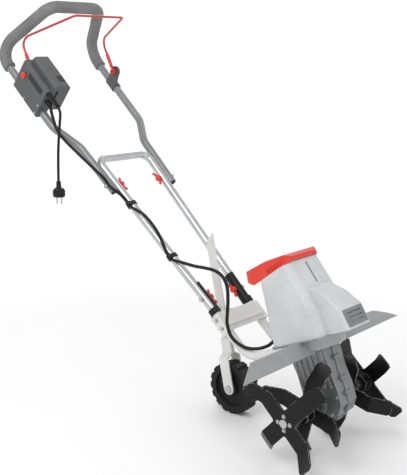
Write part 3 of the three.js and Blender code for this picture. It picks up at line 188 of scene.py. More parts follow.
def skin(node, paint, bevel, angle=30, sharp=40):
    """A refined copy of a CAD node: edges rounded, curved faces smoothed, and the rounded strips marked.

    Edges that turn by more than angle are rounded, and ones that turn by more than sharp shade as edges.
    """
    made = bare_object(node + "_skin", nodes[node].data.copy())
    tidy = bmesh.new()
    tidy.from_mesh(made.data)
    bmesh.ops.remove_doubles(tidy, verts=tidy.verts, dist=MERGE_WITHIN)
    bmesh.ops.dissolve_limit(tidy, angle_limit=FLAT_WITHIN, verts=tidy.verts, edges=tidy.edges)
    tidy.to_mesh(made.data)
    tidy.free()
    made.data.materials.clear()
    made.data.materials.append(materials[paint])
    made.data.materials.append(materials[paint])
    for face in made.data.polygons:
        face.material_index = 0
    shade(made, sharp)
    rounding = made.modifiers.new("rounding", "BEVEL")
    rounding.width = bevel
    rounding.segments = BEVEL_SEGMENTS
    rounding.limit_method = "ANGLE"
    rounding.angle_limit = math.radians(angle)
    rounding.material = 1
    flat = made.modifiers.new("flat_faces", "WEIGHTED_NORMAL")
    flat.keep_sharp = True
    flat.weight = 100
    as_mesh(made)
    strip = [1.0 if face.material_index == 1 else 0.0 for face in made.data.polygons]
    made.data.attributes.new("worn_edge", "FLOAT", "FACE").data.foreach_set("value", strip)
    return dress(made, nodes[node]["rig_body"], paint, node)


def rounded(corners, radii, step):
    """Corner points with each inner corner turned on its radius, a point about every step degrees."""
    points = [corners[0]]
    for before, here, after, radius in zip(corners, corners[1:], corners[2:], radii):
        into, out = (here - before).normalized(), (after - here).normalized()
        bend = into.angle(out)
        start = here - into * radius * math.tan(bend / 2)
        inward = (out - into * out.dot(into)).normalized()
        count = max(3, round(math.degrees(bend) / step))
        for k in range(count + 1):
            turn = bend * k / count
            points.append(start + inward * radius * (1 - math.cos(turn)) + into * radius * math.sin(turn))
    points.append(corners[-1])
    return points


def sweep(name, points, radius, sides, bore=0.0, swell=None):
    """A round bar or tube along points. swell(reach, total) scales the outer radius along the way."""
    made = bmesh.new()
    count = len(points)
    normal = Vector((0, 0, 1)) if abs((points[1] - points[0]).normalized().z) < 0.9 else SIDE.copy()
    lengths = [0.0]
    for a, b in zip(points, points[1:]):
        lengths.append(lengths[-1] + (b - a).length)
    rings = {"out": [], "in": []}
    for i, point in enumerate(points):
        before, after = points[max(i - 1, 0)], points[min(i + 1, count - 1)]
        along = (point - before).normalized() + (after - point).normalized()
        along = along.normalized()
        normal = (normal - along * normal.dot(along)).normalized()
        across = along.cross(normal)
        scale = swell(lengths[i], lengths[-1]) if swell else 1.0
        for which, r in (("out", radius * scale), ("in", bore)):
            if r <= 0:
                continue
            ring = []
            for k in range(sides):
                turn = 2 * math.pi * k / sides
                ring.append(made.verts.new(point + normal * r * math.cos(turn) + across * r * math.sin(turn)))
            rings[which].append(ring)
    for which, flip in (("out", False), ("in", True)):
        for a, b in zip(rings[which], rings[which][1:]):
            for k in range(sides):
                quad = [a[k], a[(k + 1) % sides], b[(k + 1) % sides], b[k]]
                made.faces.new(quad[::-1] if flip else quad)
    for end in (0, -1):
        if bore > 0:
            a, b = rings["out"][end], rings["in"][end]
            for k in range(sides):
                made.faces.new([a[k], b[k], b[(k + 1) % sides], a[(k + 1) % sides]])
        else:
            made.faces.new(rings["out"][end])
    bmesh.ops.recalc_face_normals(made, faces=made.faces)
    return solid(name, made)


def smooth_route(points, step):
    """A centripetal curve through given points, in even steps."""
    dense = []
    ends = [points[0] * 2 - points[1], *points, points[-1] * 2 - points[-2]]
    for p0, p1, p2, p3 in zip(ends, ends[1:], ends[2:], ends[3:]):
        t1 = (p1 - p0).length ** 0.5
        t2 = t1 + (p2 - p1).length ** 0.5
        t3 = t2 + (p3 - p2).length ** 0.5
        for k in range(ROUTE_SUBSTEPS):
            t = t1 + (t2 - t1) * k / ROUTE_SUBSTEPS
            a1 = p0 * ((t1 - t) / t1) + p1 * (t / t1)
            a2 = p1 * ((t2 - t) / (t2 - t1)) + p2 * ((t - t1) / (t2 - t1))
            a3 = p2 * ((t3 - t) / (t3 - t2)) + p3 * ((t - t2) / (t3 - t2))
            b1 = a1 * ((t2 - t) / t2) + a2 * (t / t2)
            b2 = a2 * ((t3 - t) / (t3 - t1)) + a3 * ((t - t1) / (t3 - t1))
            dense.append(b1 * ((t2 - t) / (t2 - t1)) + b2 * ((t - t1) / (t2 - t1)))
    dense.append(points[-1])
    total = sum((b - a).length for a, b in zip(dense, dense[1:]))
    count = max(4, round(total / step))
    even, reach, target = [dense[0]], 0.0, total / count
    for a, b in zip(dense, dense[1:]):
        span = (b - a).length
        while span > 0 and reach + span >= target * len(even) and len(even) < count:
            even.append(a.lerp(b, (target * len(even) - reach) / span))
        reach += span
    even.append(dense[-1])
    return even


def mirrored(points):
    """The same route on the other side of the machine, run backwards."""
    return [Vector((p.x, -p.y, p.z)) for p in points][::-1]


print("tools ready")

# %% [markdown]
# ## Materials
# One shared group makes fine grain, pores, broad blotches, an edge mask and a top-side dust mask from
# Object coordinates. Each material mixes them with its own values.

# %% Shared surface group
def socket(tree, name, way="INPUT", default=None):
    made = tree.interface.new_socket(name=name, in_out=way, socket_type="NodeSocketFloat")
    if default is not None:
        made.default_value = default


marks = bpy.data.node_groups.new("surface_marks", "ShaderNodeTree")
for label, default in (("Grain Scale", 900), ("Pore Scale", 900), ("Blotch Scale", 14), ("Streak", 1)):
    socket(marks, label, default=default)
for label in ("Grain", "Pores", "Blotch", "Edge", "Dust", "Scratch"):
    socket(marks, label, way="OUTPUT")


def put(tree, kind, links=(), **values):
    """Adds a node, sets its inputs by name, and wires (input, socket) pairs into it."""
    made = tree.nodes.new(kind)
    for key, value in values.items():
        key = key.replace("_", " ") if key.replace("_", " ") in made.inputs else key
        if key in made.inputs:
            made.inputs[key].default_value = value
        else:
            setattr(made, key, value)
    for where, source in links:
        tree.links.new(source, made.inputs[where])
    return made


def math_node(tree, how, a, b=None, c=None):
    made = tree.nodes.new("ShaderNodeMath")
    made.operation = how
    for k, value in enumerate((a, b, c)):
        if value is None:
            continue
        if isinstance(value, (int, float)):
            made.inputs[k].default_value = value
        else:
            tree.links.new(value, made.inputs[k])
    return made.outputs[0]


def ramp(tree, source, low, high):
    """0 where source is low, 1 where it is high, and even between."""
    made = put(tree, "ShaderNodeMapRange", [("Value", source)], From_Min=low, From_Max=high)
    return made.outputs[0]


given = marks.nodes.new("NodeGroupInput").outputs
place = marks.nodes.new("ShaderNodeTexCoord").outputs["Object"]
streaked = put(marks, "ShaderNodeMapping", [("Vector", place)])
spread = put(marks, "ShaderNodeCombineXYZ", [("X", given["Streak"])], Y=1.0, Z=1.0)
marks.links.new(spread.outputs[0], streaked.inputs["Scale"])
grain = put(marks, "ShaderNodeTexNoise", [("Vector", streaked.outputs[0]), ("Scale", given["Grain Scale"])],
            Detail=5, Roughness=0.6)
pores = put(marks, "ShaderNodeTexVoronoi", [("Vector", place), ("Scale", given["Pore Scale"])])
blotch = put(marks, "ShaderNodeTexNoise", [("Vector", place), ("Scale", given["Blotch Scale"])],
             Detail=6, Roughness=0.65)
ragged = put(marks, "ShaderNodeTexNoise", [("Vector", place)], Scale=160, Detail=4)
scratch = put(marks, "ShaderNodeTexNoise", [("Vector", place)], Scale=60, Detail=2, Distortion=4)
geometry = marks.nodes.new("ShaderNodeNewGeometry").outputs
rim = put(marks, "ShaderNodeAttribute", attribute_name="worn_edge")
edge = math_node(marks, "MULTIPLY", rim.outputs["Fac"], ramp(marks, ragged.outputs[0], 0.42, 0.62))
facing = marks.nodes.new("ShaderNodeSeparateXYZ")
marks.links.new(geometry["Normal"], facing.inputs[0])
upward = ramp(marks, facing.outputs[2], 0.3, 1.0)
dust = math_node(marks, "MULTIPLY", upward, ramp(marks, blotch.outputs[0], 0.42, 0.7))
thin = math_node(marks, "ABSOLUTE", math_node(marks, "SUBTRACT", scratch.outputs[0], 0.5))
given_out = marks.nodes.new("NodeGroupOutput").inputs
for label, source in (("Grain", grain.outputs[0]), ("Pores", pores.outputs["Distance"]),
                      ("Blotch", blotch.outputs[0]), ("Edge", edge), ("Dust", dust),
                      ("Scratch", ramp(marks, thin, 0.012, 0.0))):
    marks.links.new(source, given_out[label])
print("group", marks.name, len(marks.nodes), "nodes")

# %% The materials
# name: colour, roughness, metallic, grain scale, pore scale, streak, bump mm, pore share, worn colour,
# edge wear, dust, coat
RECIPES = {
    "foam": ((0.215, 0.216, 0.218), 0.92, 0, 1100, 620, 1, 0.35, 0.75,
             (0.30, 0.30, 0.31), 0.25, 0.25, 0),
    "satin_tube": ((0.25, 0.257, 0.265), 0.38, 0.55, 700, 300, 1, 0.02, 0.1,
                   (0.5, 0.5, 0.51), 0.5, 0.2, 0.2),
    "bright_tube": ((0.54, 0.55, 0.565), 0.26, 1, 500, 200, 1, 0.01, 0.0,
                    (0.8, 0.8, 0.8), 0.2, 0.15, 0),
    "dark_plastic": ((0.085, 0.088, 0.092), 0.52, 0, 1500, 1300, 1, 0.05, 0.5,
                     (0.12, 0.12, 0.125), 0.5, 0.3, 0),
    "black_plastic": ((0.007, 0.007, 0.008), 0.42, 0, 1300, 1100, 1, 0.03, 0.4,
                      (0.06, 0.06, 0.06), 0.5, 0.3, 0),
    "red_plastic": ((0.66, 0.028, 0.010), 0.34, 0, 900, 900, 1, 0.015, 0.3,
                    (0.82, 0.15, 0.09), 0.5, 0.15, 0.15),
    "red_coated": ((0.50, 0.025, 0.02), 0.30, 0, 500, 500, 1, 0.02, 0.2,
                   (0.35, 0.1, 0.08), 0.3, 0.1, 0.3),
    "hood_plastic": ((0.56, 0.57, 0.58), 0.44, 0, 1200, 1200, 1, 0.02, 0.4,
                     (0.7, 0.71, 0.72), 0.3, 0.2, 0),
    "guard_metal": ((0.32, 0.33, 0.34), 0.40, 0.35, 650, 400, 1, 0.03, 0.2,
                    (0.72, 0.73, 0.74), 1.0, 0.25, 0),
    "frame_paint": ((0.68, 0.68, 0.665), 0.42, 0, 600, 420, 1, 0.03, 0.2,
                    (0.36, 0.35, 0.33), 0.25, 0.25, 0.1),
    "gear_alloy": ((0.25, 0.255, 0.26), 0.50, 0.75, 420, 380, 1, 0.12, 0.35,
                   (0.6, 0.6, 0.61), 0.8, 0.35, 0),
    "tine_steel": ((0.006, 0.006, 0.007), 0.36, 0.2, 380, 300, 1, 0.06, 0.3,
                   (0.42, 0.41, 0.40), 1.0, 0.3, 0),
    "steel": ((0.48, 0.485, 0.49), 0.30, 1, 600, 300, 0.15, 0.02, 0.0, (0.7, 0.7, 0.7), 0.4, 0.2, 0),
    "brass": ((0.52, 0.36, 0.14), 0.32, 1, 600, 300, 0.2, 0.02, 0.0, (0.7, 0.52, 0.26), 0.4, 0.1, 0),
    "tyre": ((0.008, 0.008, 0.009), 0.62, 0, 800, 700, 1, 0.08, 0.4, (0.07, 0.068, 0.064), 0.8, 0.5, 0),
    "cable": ((0.006, 0.006, 0.0065), 0.45, 0, 1200, 900, 1, 0.02, 0.3,
              (0.04, 0.04, 0.04), 0.3, 0.3, 0),
    "vent_grey": ((0.20, 0.205, 0.21), 0.48, 0, 1200, 1200, 1, 0.02, 0.4,
                  (0.35, 0.35, 0.36), 0.4, 0.2, 0),
    "window": ((0.006, 0.006, 0.007), 0.10, 0, 400, 400, 1, 0.0, 0.0,
               (0.02, 0.02, 0.02), 0.2, 0.15, 0.5),
    "black_strip": ((0.010, 0.010, 0.011), 0.24, 0, 300, 300, 1, 0.004, 0.0,
                    (0.05, 0.05, 0.05), 0.4, 0.2, 0.3),
}
DUST_COLOUR = (0.42, 0.36, 0.28, 1)
FOAM_SHADE, PLAIN_SHADE, LIT_SHADE, PORE_SHADE = 0.72, 0.93, 1.12, 0.45
DUST_TINT, DUST_DULLS = 0.35, 0.4
BLOTCH_GLOSS, SCRATCH_GLOSS, COAT_ROUGH = 0.16, 0.08, 0.2
DARK_BELOW, DARK_SPECULAR, PLAIN_SPECULAR = 0.02, 0.28, 0.5


def mix_colour(tree, share, a, b):
    """Colour a where share is 0 and b where it is 1. Each is a value or a socket."""
    made = tree.nodes.new("ShaderNodeMix")
    made.data_type = "RGBA"
    for where, value in ((0, share), (6, a), (7, b)):
        if isinstance(value, (int, float, tuple)):
            made.inputs[where].default_value = value
        else:
            tree.links.new(value, made.inputs[where])
    return made.outputs[2]


def scaled(colour, by):
    return tuple(min(1, c * by) for c in colour) + (1,)


for name, recipe in RECIPES.items():
    colour, rough, metal, grain_scale, pore_scale, streak = recipe[:6]
    bump, pore_share, worn, wear, dusty, coat = recipe[6:]
    paint = bpy.data.materials.new(name + "_look")
    paint.use_nodes = True
    tree = paint.node_tree
    shader = tree.nodes["Principled BSDF"]
    mark = tree.nodes.new("ShaderNodeGroup")
    mark.node_tree = marks
    for label, value in (("Grain Scale", grain_scale), ("Pore Scale", pore_scale), ("Streak", streak)):
        mark.inputs[label].default_value = value
    out = mark.outputs
    shaded = scaled(colour, FOAM_SHADE if name == "foam" else PLAIN_SHADE)
    base = mix_colour(tree, ramp(tree, out["Blotch"], 0.3, 0.72), shaded, scaled(colour, LIT_SHADE))
    speckle = math_node(tree, "MULTIPLY", ramp(tree, out["Pores"], 0.45, 0.0), pore_share)
    base = mix_colour(tree, speckle, base, scaled(colour, PORE_SHADE))
    base = mix_colour(tree, math_node(tree, "MULTIPLY", out["Edge"], wear), base, (*worn, 1))
    base = mix_colour(tree, math_node(tree, "MULTIPLY", out["Dust"], dusty * DUST_TINT), base, DUST_COLOUR)
    tree.links.new(base, shader.inputs["Base Color"])
    gloss = math_node(tree, "MULTIPLY_ADD", out["Blotch"], BLOTCH_GLOSS, rough - BLOTCH_GLOSS / 2)
    gloss = math_node(tree, "MULTIPLY_ADD", out["Scratch"], SCRATCH_GLOSS, gloss)
    gloss = math_node(tree, "MULTIPLY_ADD", out["Dust"], dusty * DUST_DULLS, gloss)
    tree.links.new(gloss, shader.inputs["Roughness"])
    shader.inputs["Metallic"].default_value = metal
    specular = DARK_SPECULAR if max(colour) < DARK_BELOW else PLAIN_SPECULAR
    shader.inputs["Specular IOR Level"].default_value = specular
    shader.inputs["Coat Weight"].default_value = coat
    shader.inputs["Coat Roughness"].default_value = COAT_ROUGH
    height = mix_colour(tree, pore_share, out["Grain"], out["Pores"])
    relief = put(tree, "ShaderNodeBump", [("Height", height)], Distance=bump / 1000, Strength=0.8)
    tree.links.new(relief.outputs[0], shader.inputs["Normal"])
    materials[name] = paint
print("materials", len(materials))

# %% [markdown]
# ## Stage and light
# A pale floor that fades into a white surround, a large soft key light, a fill and a rim light.

# %% Stage and light
FLOOR_HALF = 6.0
LOWEST = cad_box[0][2]
FADE_FROM, FADE_TO = 0.8, 2.0
FLOOR_GREY, FLOOR_ROUGH = 0.92, 0.8
SEEN_STRENGTH, SURROUND_STRENGTH = 1.1, 0.8
LIT_POINT = Vector((0.05, 0, 0.45))
LAMPS = (("key", (0.4, -1.9, 2.6), 1.6, 26), ("fill", (2.4, -0.4, 1.5), 2.0, 6),
         ("rim", (-1.6, 1.8, 2.2), 1.5, 14))

floor = bare_object("floor", bpy.data.meshes.new("floor"))
corners = [(x * FLOOR_HALF, y * FLOOR_HALF, LOWEST) for x, y in ((-1, -1), (1, -1), (1, 1), (-1, 1))]
floor.data.from_pydata(corners, [], [(0, 1, 2, 3)])
pale = bpy.data.materials.new("pale_floor")
pale.use_nodes = True
tree = pale.node_tree
near = tree.nodes["Principled BSDF"]
near.inputs["Base Color"].default_value = (FLOOR_GREY, FLOOR_GREY, FLOOR_GREY, 1)
near.inputs["Roughness"].default_value = FLOOR_ROUGH
far = tree.nodes.new("ShaderNodeEmission")
far.inputs[1].default_value = SEEN_STRENGTH
fade = tree.nodes.new("ShaderNodeMixShader")
from_middle = tree.nodes.new("ShaderNodeTexCoord").outputs["Object"]
reach = put(tree, "ShaderNodeVectorMath", [(0, from_middle)], operation="LENGTH")
tree.links.new(ramp(tree, reach.outputs["Value"], FADE_FROM, FADE_TO), fade.inputs[0])
tree.links.new(near.outputs[0], fade.inputs[1])
tree.links.new(far.outputs[0], fade.inputs[2])
tree.links.new(fade.outputs[0], tree.nodes["Material Output"].inputs[0])
floor.data.materials.append(pale)

world = bpy.data.worlds.new("surround")
world.use_nodes = True
tree = world.node_tree
surround = tree.nodes["Background"]
seen = tree.nodes.new("ShaderNodeBackground")
for glow, strength in ((surround, SURROUND_STRENGTH), (seen, SEEN_STRENGTH)):
    glow.inputs[0].default_value = (1, 1, 1, 1)
    glow.inputs[1].default_value = strength
either = tree.nodes.new("ShaderNodeMixShader")
ray = tree.nodes.new("ShaderNodeLightPath")
tree.links.new(ray.outputs["Is Camera Ray"], either.inputs[0])
tree.links.new(surround.outputs[0], either.inputs[1])
tree.links.new(seen.outputs[0], either.inputs[2])
tree.links.new(either.outputs[0], tree.nodes["World Output"].inputs[0])
bpy.context.scene.world = world
bpy.context.scene.view_settings.view_transform = "Standard"
for label, spot, size, power in LAMPS:
    lamp = bpy.data.objects.new(label, bpy.data.lights.new(label, "AREA"))
    bpy.context.scene.collection.objects.link(lamp)
    lamp.location = spot
    lamp.rotation_euler = (LIT_POINT - lamp.location).to_track_quat("-Z", "Y").to_euler()
    lamp.data.size, lamp.data.energy = size, power
print("stage set")

# %% [markdown]
# ## Skins
# Pieces whose CAD shape is right are finished: their edges are rounded and their curved faces smoothed.
# Each is a node and its rounding in mm, and some give their own two angles for skin.

# %% Skins
SKINS = {
    "dark_plastic": [("switch_box_outer", 1.2), ("switch_box_inner", 1.2), ("bail_bracket", 1.0),
                     ("base_plate", 0.5)],
    "vent_grey": [("vent_insert", 0.15)],
    "black_plastic": [("tube_sleeve_right", 0.8), ("tube_sleeve_left", 0.8), ("cable_clip_upper", 0.5),
                      ("cable_clip_lower", 0.5), ("cord_boot", 0.5), ("cable_boot", 0.5),
                      ("microswitch", 0.4), ("plug_body", 1.0), ("cooling_fan", 0.4)],
    "red_plastic": [("lock_button", 0.8), ("top_cap", 0.6), ("wing_knob_upper_right", 1.0),
                    ("wing_knob_upper_left", 1.0), ("wing_knob_lower_right", 1.0),
                    ("wing_knob_lower_left", 1.0)],
    "hood_plastic": [("motor_housing", 1.0, 18, 19)],
    "guard_metal": [("tine_guard", 0.9)],
    "frame_paint": [("cross_channel", 0.8), ("wheel_strut", 0.8), ("fork_plate_right", 0.6),
                    ("fork_plate_left", 0.6)],
    "gear_alloy": [("gearbox_right", 0.9), ("gearbox_left", 0.9)],
    "tine_steel": [("tine_star_outer_right", 0.7, 45, 30), ("tine_star_inner_right", 0.7, 45, 30),
                   ("tine_star_inner_left", 0.7, 45, 30), ("tine_star_outer_left", 0.7, 45, 30)],
    "steel": [("clamp_bolt_upper_right", 0.4), ("clamp_bolt_upper_left", 0.4),
              ("clamp_bolt_lower_right", 0.4), ("clamp_bolt_lower_left", 0.4), ("strut_screw", 0.4),
              ("wheel_axle", 0.4), ("tine_shaft", 0.6), ("plug_pin_1", 0.3), ("plug_pin_2", 0.3),
              ("shaft_bearing_right", 0.4), ("shaft_bearing_left", 0.4), ("motor_rotor", 0.4),
              ("motor_stator", 0.4), ("motor_bearing_upper", 0.4), ("motor_bearing_lower", 0.4)],
    "brass": [("worm_wheel", 0.3)],
    "tyre": [("wheel", 1.2)],
}
for paint, listed in SKINS.items():
    for node, round_mm, *angles in listed:
        skin(node, paint, round_mm / 1000, *angles)

# %% [markdown]
# ## Tubes, grip and squeeze bar
# The bent tubes are swept on their own centrelines. The foam grip is a padded sleeve with lipped ends.

# %% Tubes
TUBE_R, TUBE_BORE = 0.011, 0.0095


def handle_points(*rows):
    return [on_handle(t / 1000, n / 1000, y / 1000) for t, n, y in rows]


LEG_KNEE, GRIP_END, GRIP_CORNER = (650, 0, -157), (952, 2, -163), (921, 183, -86)
right_side = handle_points((408, 0, -106.6), (571, 0, -115.3), LEG_KNEE, GRIP_END, GRIP_CORNER)
upper_corners = right_side + mirrored(right_side)
upper_path = rounded(upper_corners, (0.060, 0.060, 0.050, 0.042, 0.042, 0.050, 0.060, 0.060), 4)
upper = sweep("upper_tube_bent", upper_path, TUBE_R, 40, TUBE_BORE)
dress(upper, "upper_handle", "satin_tube", "upper_tube")

LEG_Y, LEG_SPREAD = 62, 0.05349
leg = [(t, 0, -(LEG_Y + LEG_SPREAD * t)) for t in (4, 523)]
leg_points = handle_points(*leg)
middle_path = rounded(leg_points + mirrored(leg_points), (0.028, 0.028), 5)
middle = sweep("middle_tube_bent", middle_path, TUBE_R, 40, TUBE_BORE)
dress(middle, "chassis", "bright_tube", "middle_tube")

# %% Foam grip
GRIP_R, GRIP_START, GRIP_STEP = 0.0165, 882, 0.0025
BORE_SLACK = 0.0002
share = (GRIP_START - LEG_KNEE[0]) / (GRIP_END[0] - LEG_KNEE[0])
start = tuple(a + (b - a) * share for a, b in zip(LEG_KNEE, GRIP_END))
grip_side = handle_points(start, GRIP_END, GRIP_CORNER)
grip_path = rounded(grip_side + mirrored(grip_side), (0.050, 0.042, 0.042, 0.050), 3)
dense = []
for a, b in zip(grip_path, grip_path[1:]):
    parts = max(1, math.ceil((b - a).length / GRIP_STEP))
    dense += [a.lerp(b, k / parts) for k in range(parts)]
dense.append(grip_path[-1])


FOAM_BODY, ROUND_REACH = 0.985, 0.003
LIP_HEIGHT, LIP_AT, LIP_WIDTH = 0.045, 0.005, 0.004


def round_off(depth, reach, total):
    """How far an end is drawn in, as a share of the radius, over its last ROUND_REACH."""
    return -depth * max(0, 1 - min(reach, total - reach) / ROUND_REACH) ** 2


def foam_swell(reach, total):
    """Rounded, slightly lipped ends and a faint unevenness along the sleeve."""
    lip = LIP_HEIGHT * math.exp(-((min(reach, total - reach) - LIP_AT) / LIP_WIDTH) ** 2)
    uneven = 0.008 * math.sin(reach * 61) + 0.006 * math.sin(reach * 137 + 1)
    return FOAM_BODY + lip + round_off(0.16, reach, total) + uneven


grip = sweep("foam_sleeve", dense, GRIP_R, 48, TUBE_R + BORE_SLACK, swell=foam_swell)
dress(grip, "upper_handle", "foam", "foam_grip")

# %% Frame tubes
FRAME_Y, FRAME_W, FRAME_END_U, FRAME_TOP_T, FRAME_BEND = 0.062, 0.140, 0.008, -0.0092, 0.062


def meeting(y):
    """Where a handle leg's line meets the line of the tube's foot under the motor."""
    start, target = on_handle(0, 0, y), on_head(0, FRAME_W, y)
    gap = target - start
    cross = up_handle.x * along_head.z - up_handle.z * along_head.x
    return start + up_handle * ((gap.x * along_head.z - gap.z * along_head.x) / cross)


for label, y in (("right", -FRAME_Y), ("left", FRAME_Y)):
    corners = [on_handle(FRAME_TOP_T, 0, y), meeting(y), on_head(FRAME_END_U, FRAME_W, y)]
    path = rounded(corners, (FRAME_BEND,), 4)
    made = sweep("frame_tube_bent_" + label, path, TUBE_R, 36, TUBE_BORE)
    dress(made, "chassis", "frame_paint", "frame_tube_" + label)

# %% Squeeze bar
WIRE_R, EYE_R, EYE_THICK, STUB_R, STUB_REACH = 0.0032, 0.008, 0.011, 0.003, 0.0105
BAR_PIVOT, BAR_KNEE, BAR_CORNER, BAR_Y = (815, 42), (910, 80), (826, 230, -84), 144
bar_side = handle_points((*BAR_PIVOT, -BAR_Y), (*BAR_KNEE, -BAR_Y), BAR_CORNER)
bar_path = rounded(bar_side + mirrored(bar_side), (0.025, 0.012, 0.012, 0.025), 6)
wire = sweep("squeeze_wire", bar_path, WIRE_R, 20)
parts = [wire]
for side in (-1, 1):
    pivot, = handle_points((*BAR_PIVOT, side * BAR_Y))
    for radius, reach in ((EYE_R, EYE_THICK / 2), (STUB_R, STUB_REACH)):
        parts.append(sweep("eye", [pivot - SIDE * reach, pivot + SIDE * reach], radius, 32))


def joined(name, parts):
    """One object from several, which are removed."""
    whole = bmesh.new()
    for part in parts:
        whole.from_mesh(part.data)
    for part in parts:
        bpy.data.objects.remove(part)
    return solid(name, whole)


wire = joined("squeeze_bar_wire", parts)
dress(wire, "squeeze_bar", "red_coated", "bail_rod")
SLEEVE_R, SLEEVE_FROM, SLEEVE_TO, SLEEVE_STEPS = 0.005, 0.014, 0.058, 16


def sleeve_swell(reach, total):
    return 1 + round_off(0.12, reach, total)


for label, side in (("right", -1), ("left", 1)):
    low, high = handle_points((*BAR_PIVOT, side * BAR_Y), (*BAR_KNEE, side * BAR_Y))
    lean = (high - low).normalized()
    line = [low + lean * (SLEEVE_FROM + (SLEEVE_TO - SLEEVE_FROM) * k / SLEEVE_STEPS)
            for k in range(SLEEVE_STEPS + 1)]
    made = sweep("squeeze_sleeve_" + label, line, SLEEVE_R, 28, WIRE_R + BORE_SLACK, swell=sleeve_swell)
    dress(made, "squeeze_bar", "red_plastic", "bail_sleeve_" + label)

# %% [markdown]
# ## Cords
# The short supply cord hangs from the box to its plug. The motor cable runs from the box down the right
# leg, through two clips, over the cross channel and into the back of the hood.

# %% Supply cord
CORD_D = 0.007
cord_route = [Vector(p) for p in (
    (-0.29383, -0.17400, 0.76270), (-0.27983, -0.17800, 0.74870), (-0.27983, -0.18100, 0.71670),
    (-0.28583, -0.18300, 0.66270), (-0.28983, -0.18300, 0.61270), (-0.29133, -0.18300, 0.57270),
    (-0.29133, -0.18300, 0.55570))]
cord_line = smooth_route(cord_route, 0.006)
flex = sweep("supply_flex", cord_line, CORD_D / 2, 20)
dress(flex, "upper_handle", "cable", "supply_cord")

# %% Motor cable
CABLE_R = 0.0042
CLIP_N, CLIP_OUT, CLIP_HALF = 7.94, 17.04, 9


def clip_rows(t):
    """Where the cable goes into and out of a clip at t on the right leg."""
    ends = (t + CLIP_HALF, t - CLIP_HALF)
    return [(end, CLIP_N, -(LEG_Y + LEG_SPREAD * end + CLIP_OUT)) for end in ends]


cable_rows = [(688, 41, -162.5), (664, 32, -166), (626, 18, -168), (590, 17, -166), (535, 21, -158),
              (488, 24, -149), (436, 26, -137.5), (424, 16, -127), (405, 18, -125), (385, 15, -110),
              *clip_rows(358),
              (299, 29, -98), (240, 26, -92), *clip_rows(177), (140, 28, -86), (108, 53, -85), (80, 79, -85),
              (58, 97, -85), (35, 106, -85), (10, 101, -85), (-15, 80, -86), (-35, 55, -86), (-55, 31, -86),
              (-85, 16, -84), (-120, 19, -72), (-142, 36, -58)]
cable_route = [on_handle(0.6995, 0.0417, -0.1615)] + handle_points(*cable_rows)
cable_route += [on_head(u, w, y) for u, w, y in ((-0.082, 0.1576, -0.045), (-0.066, 0.1646, -0.0405),
                                                 (-0.058, 0.166, -0.040), (-0.049, 0.166, -0.040))]
cable_line = smooth_route(cable_route, 0.005)
cable = sweep("motor_cable", cable_line, CABLE_R, 18)
dress(cable, None, "cable", "motor_cable_upper", "motor_cable_lower")
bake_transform(cable)
cable_length = sum((b - a).length for a, b in zip(cable_line, cable_line[1:]))
print("motor cable", round(cable_length, 4), "m,", len(cable_line), "points")

# %% [markdown]
# ## Small fittings
# Screws, bolts, a blank strip, a dark window and a plain line in darker grey, which paints the shade of the
# hood's groove, sit on the faces of the finished pieces. A black sheet behind the cap's slots paints the
# shade inside the cap.

# %% Screws and bolts
HEAD_SIDES, SUNK = 24, -0.0004
WASHER_WIDE, WASHER_TOP, NUT_FOOT = 1.35, 0.0006, 0.0005


def turned(name, foot, axis, profile, sides=HEAD_SIDES):
    """A turned piece from (radius, height) pairs, standing on foot along axis."""
    axis = axis.normalized()
    across = (SIDE if abs(axis.y) < 0.9 else Vector((1, 0, 0))).cross(axis).normalized()
    third = axis.cross(across)
    made = bmesh.new()
    rings = []
    for radius, height in profile:
        ring = []
        for k in range(sides):
            turn = 2 * math.pi * k / sides
            spoke = across * math.cos(turn) + third * math.sin(turn)
            ring.append(made.verts.new(foot + spoke * radius + axis * height))
        rings.append(ring)
    for a, b in zip(rings, rings[1:]):
        for k in range(sides):
            made.faces.new([a[k], a[(k + 1) % sides], b[(k + 1) % sides], b[k]])
    made.faces.new(rings[0][::-1])
    made.faces.new(rings[-1])
    bmesh.ops.recalc_face_normals(made, faces=made.faces)
    return solid(name, made, 35)


def hex_bolt(name, foot, axis, size, tall):
    """A six-sided head with a broken rim, on a washer."""
    washer = turned(name, foot, axis, [(size * WASHER_WIDE, SUNK), (size * WASHER_WIDE, WASHER_TOP)])
    head = turned("head", foot, axis, [(size, NUT_FOOT), (size, tall * 0.8), (size * 0.86, tall)], 6)
    return joined(name, [washer, head])


def screw(name, foot, axis, radius, tall):
    """A pan-head screw: a domed rim round a sunk recess."""
    profile = [(radius, SUNK), (radius, tall * 0.5), (radius * 0.82, tall * 0.92), (radius * 0.5, tall),
               (radius * 0.42, tall * 0.3)]
    return turned(name, foot, axis, profile)


HUB_BOLT_R, HUB_BOLT_TALL, HUB_BOLT_RING = 0.0038, 0.0032, 0.016
OUTER_FACE, INNER_FACE, OUTER_TURN, INNER_TURN = 0.163, 0.080, 318, 257
STAR_FACES = {"outer_right": (-OUTER_FACE, -1, OUTER_TURN), "outer_left": (OUTER_FACE, 1, OUTER_TURN),
              "inner_right": (-INNER_FACE, -1, INNER_TURN), "inner_left": (INNER_FACE, 1, INNER_TURN)}
for label, (y, way, turn) in STAR_FACES.items():
    parts = []
    for k in range(4):
        angle = math.radians(turn + 45 + 90 * k)
        foot = shaft + Vector((math.cos(angle), 0, math.sin(angle))) * HUB_BOLT_RING + SIDE * y
        parts.append(hex_bolt("bolt", foot, SIDE * way, HUB_BOLT_R, HUB_BOLT_TALL))
    dress(joined("hub_bolts_" + label, parts), "tines", "steel")
print("hub bolts", 4 * len(STAR_FACES))

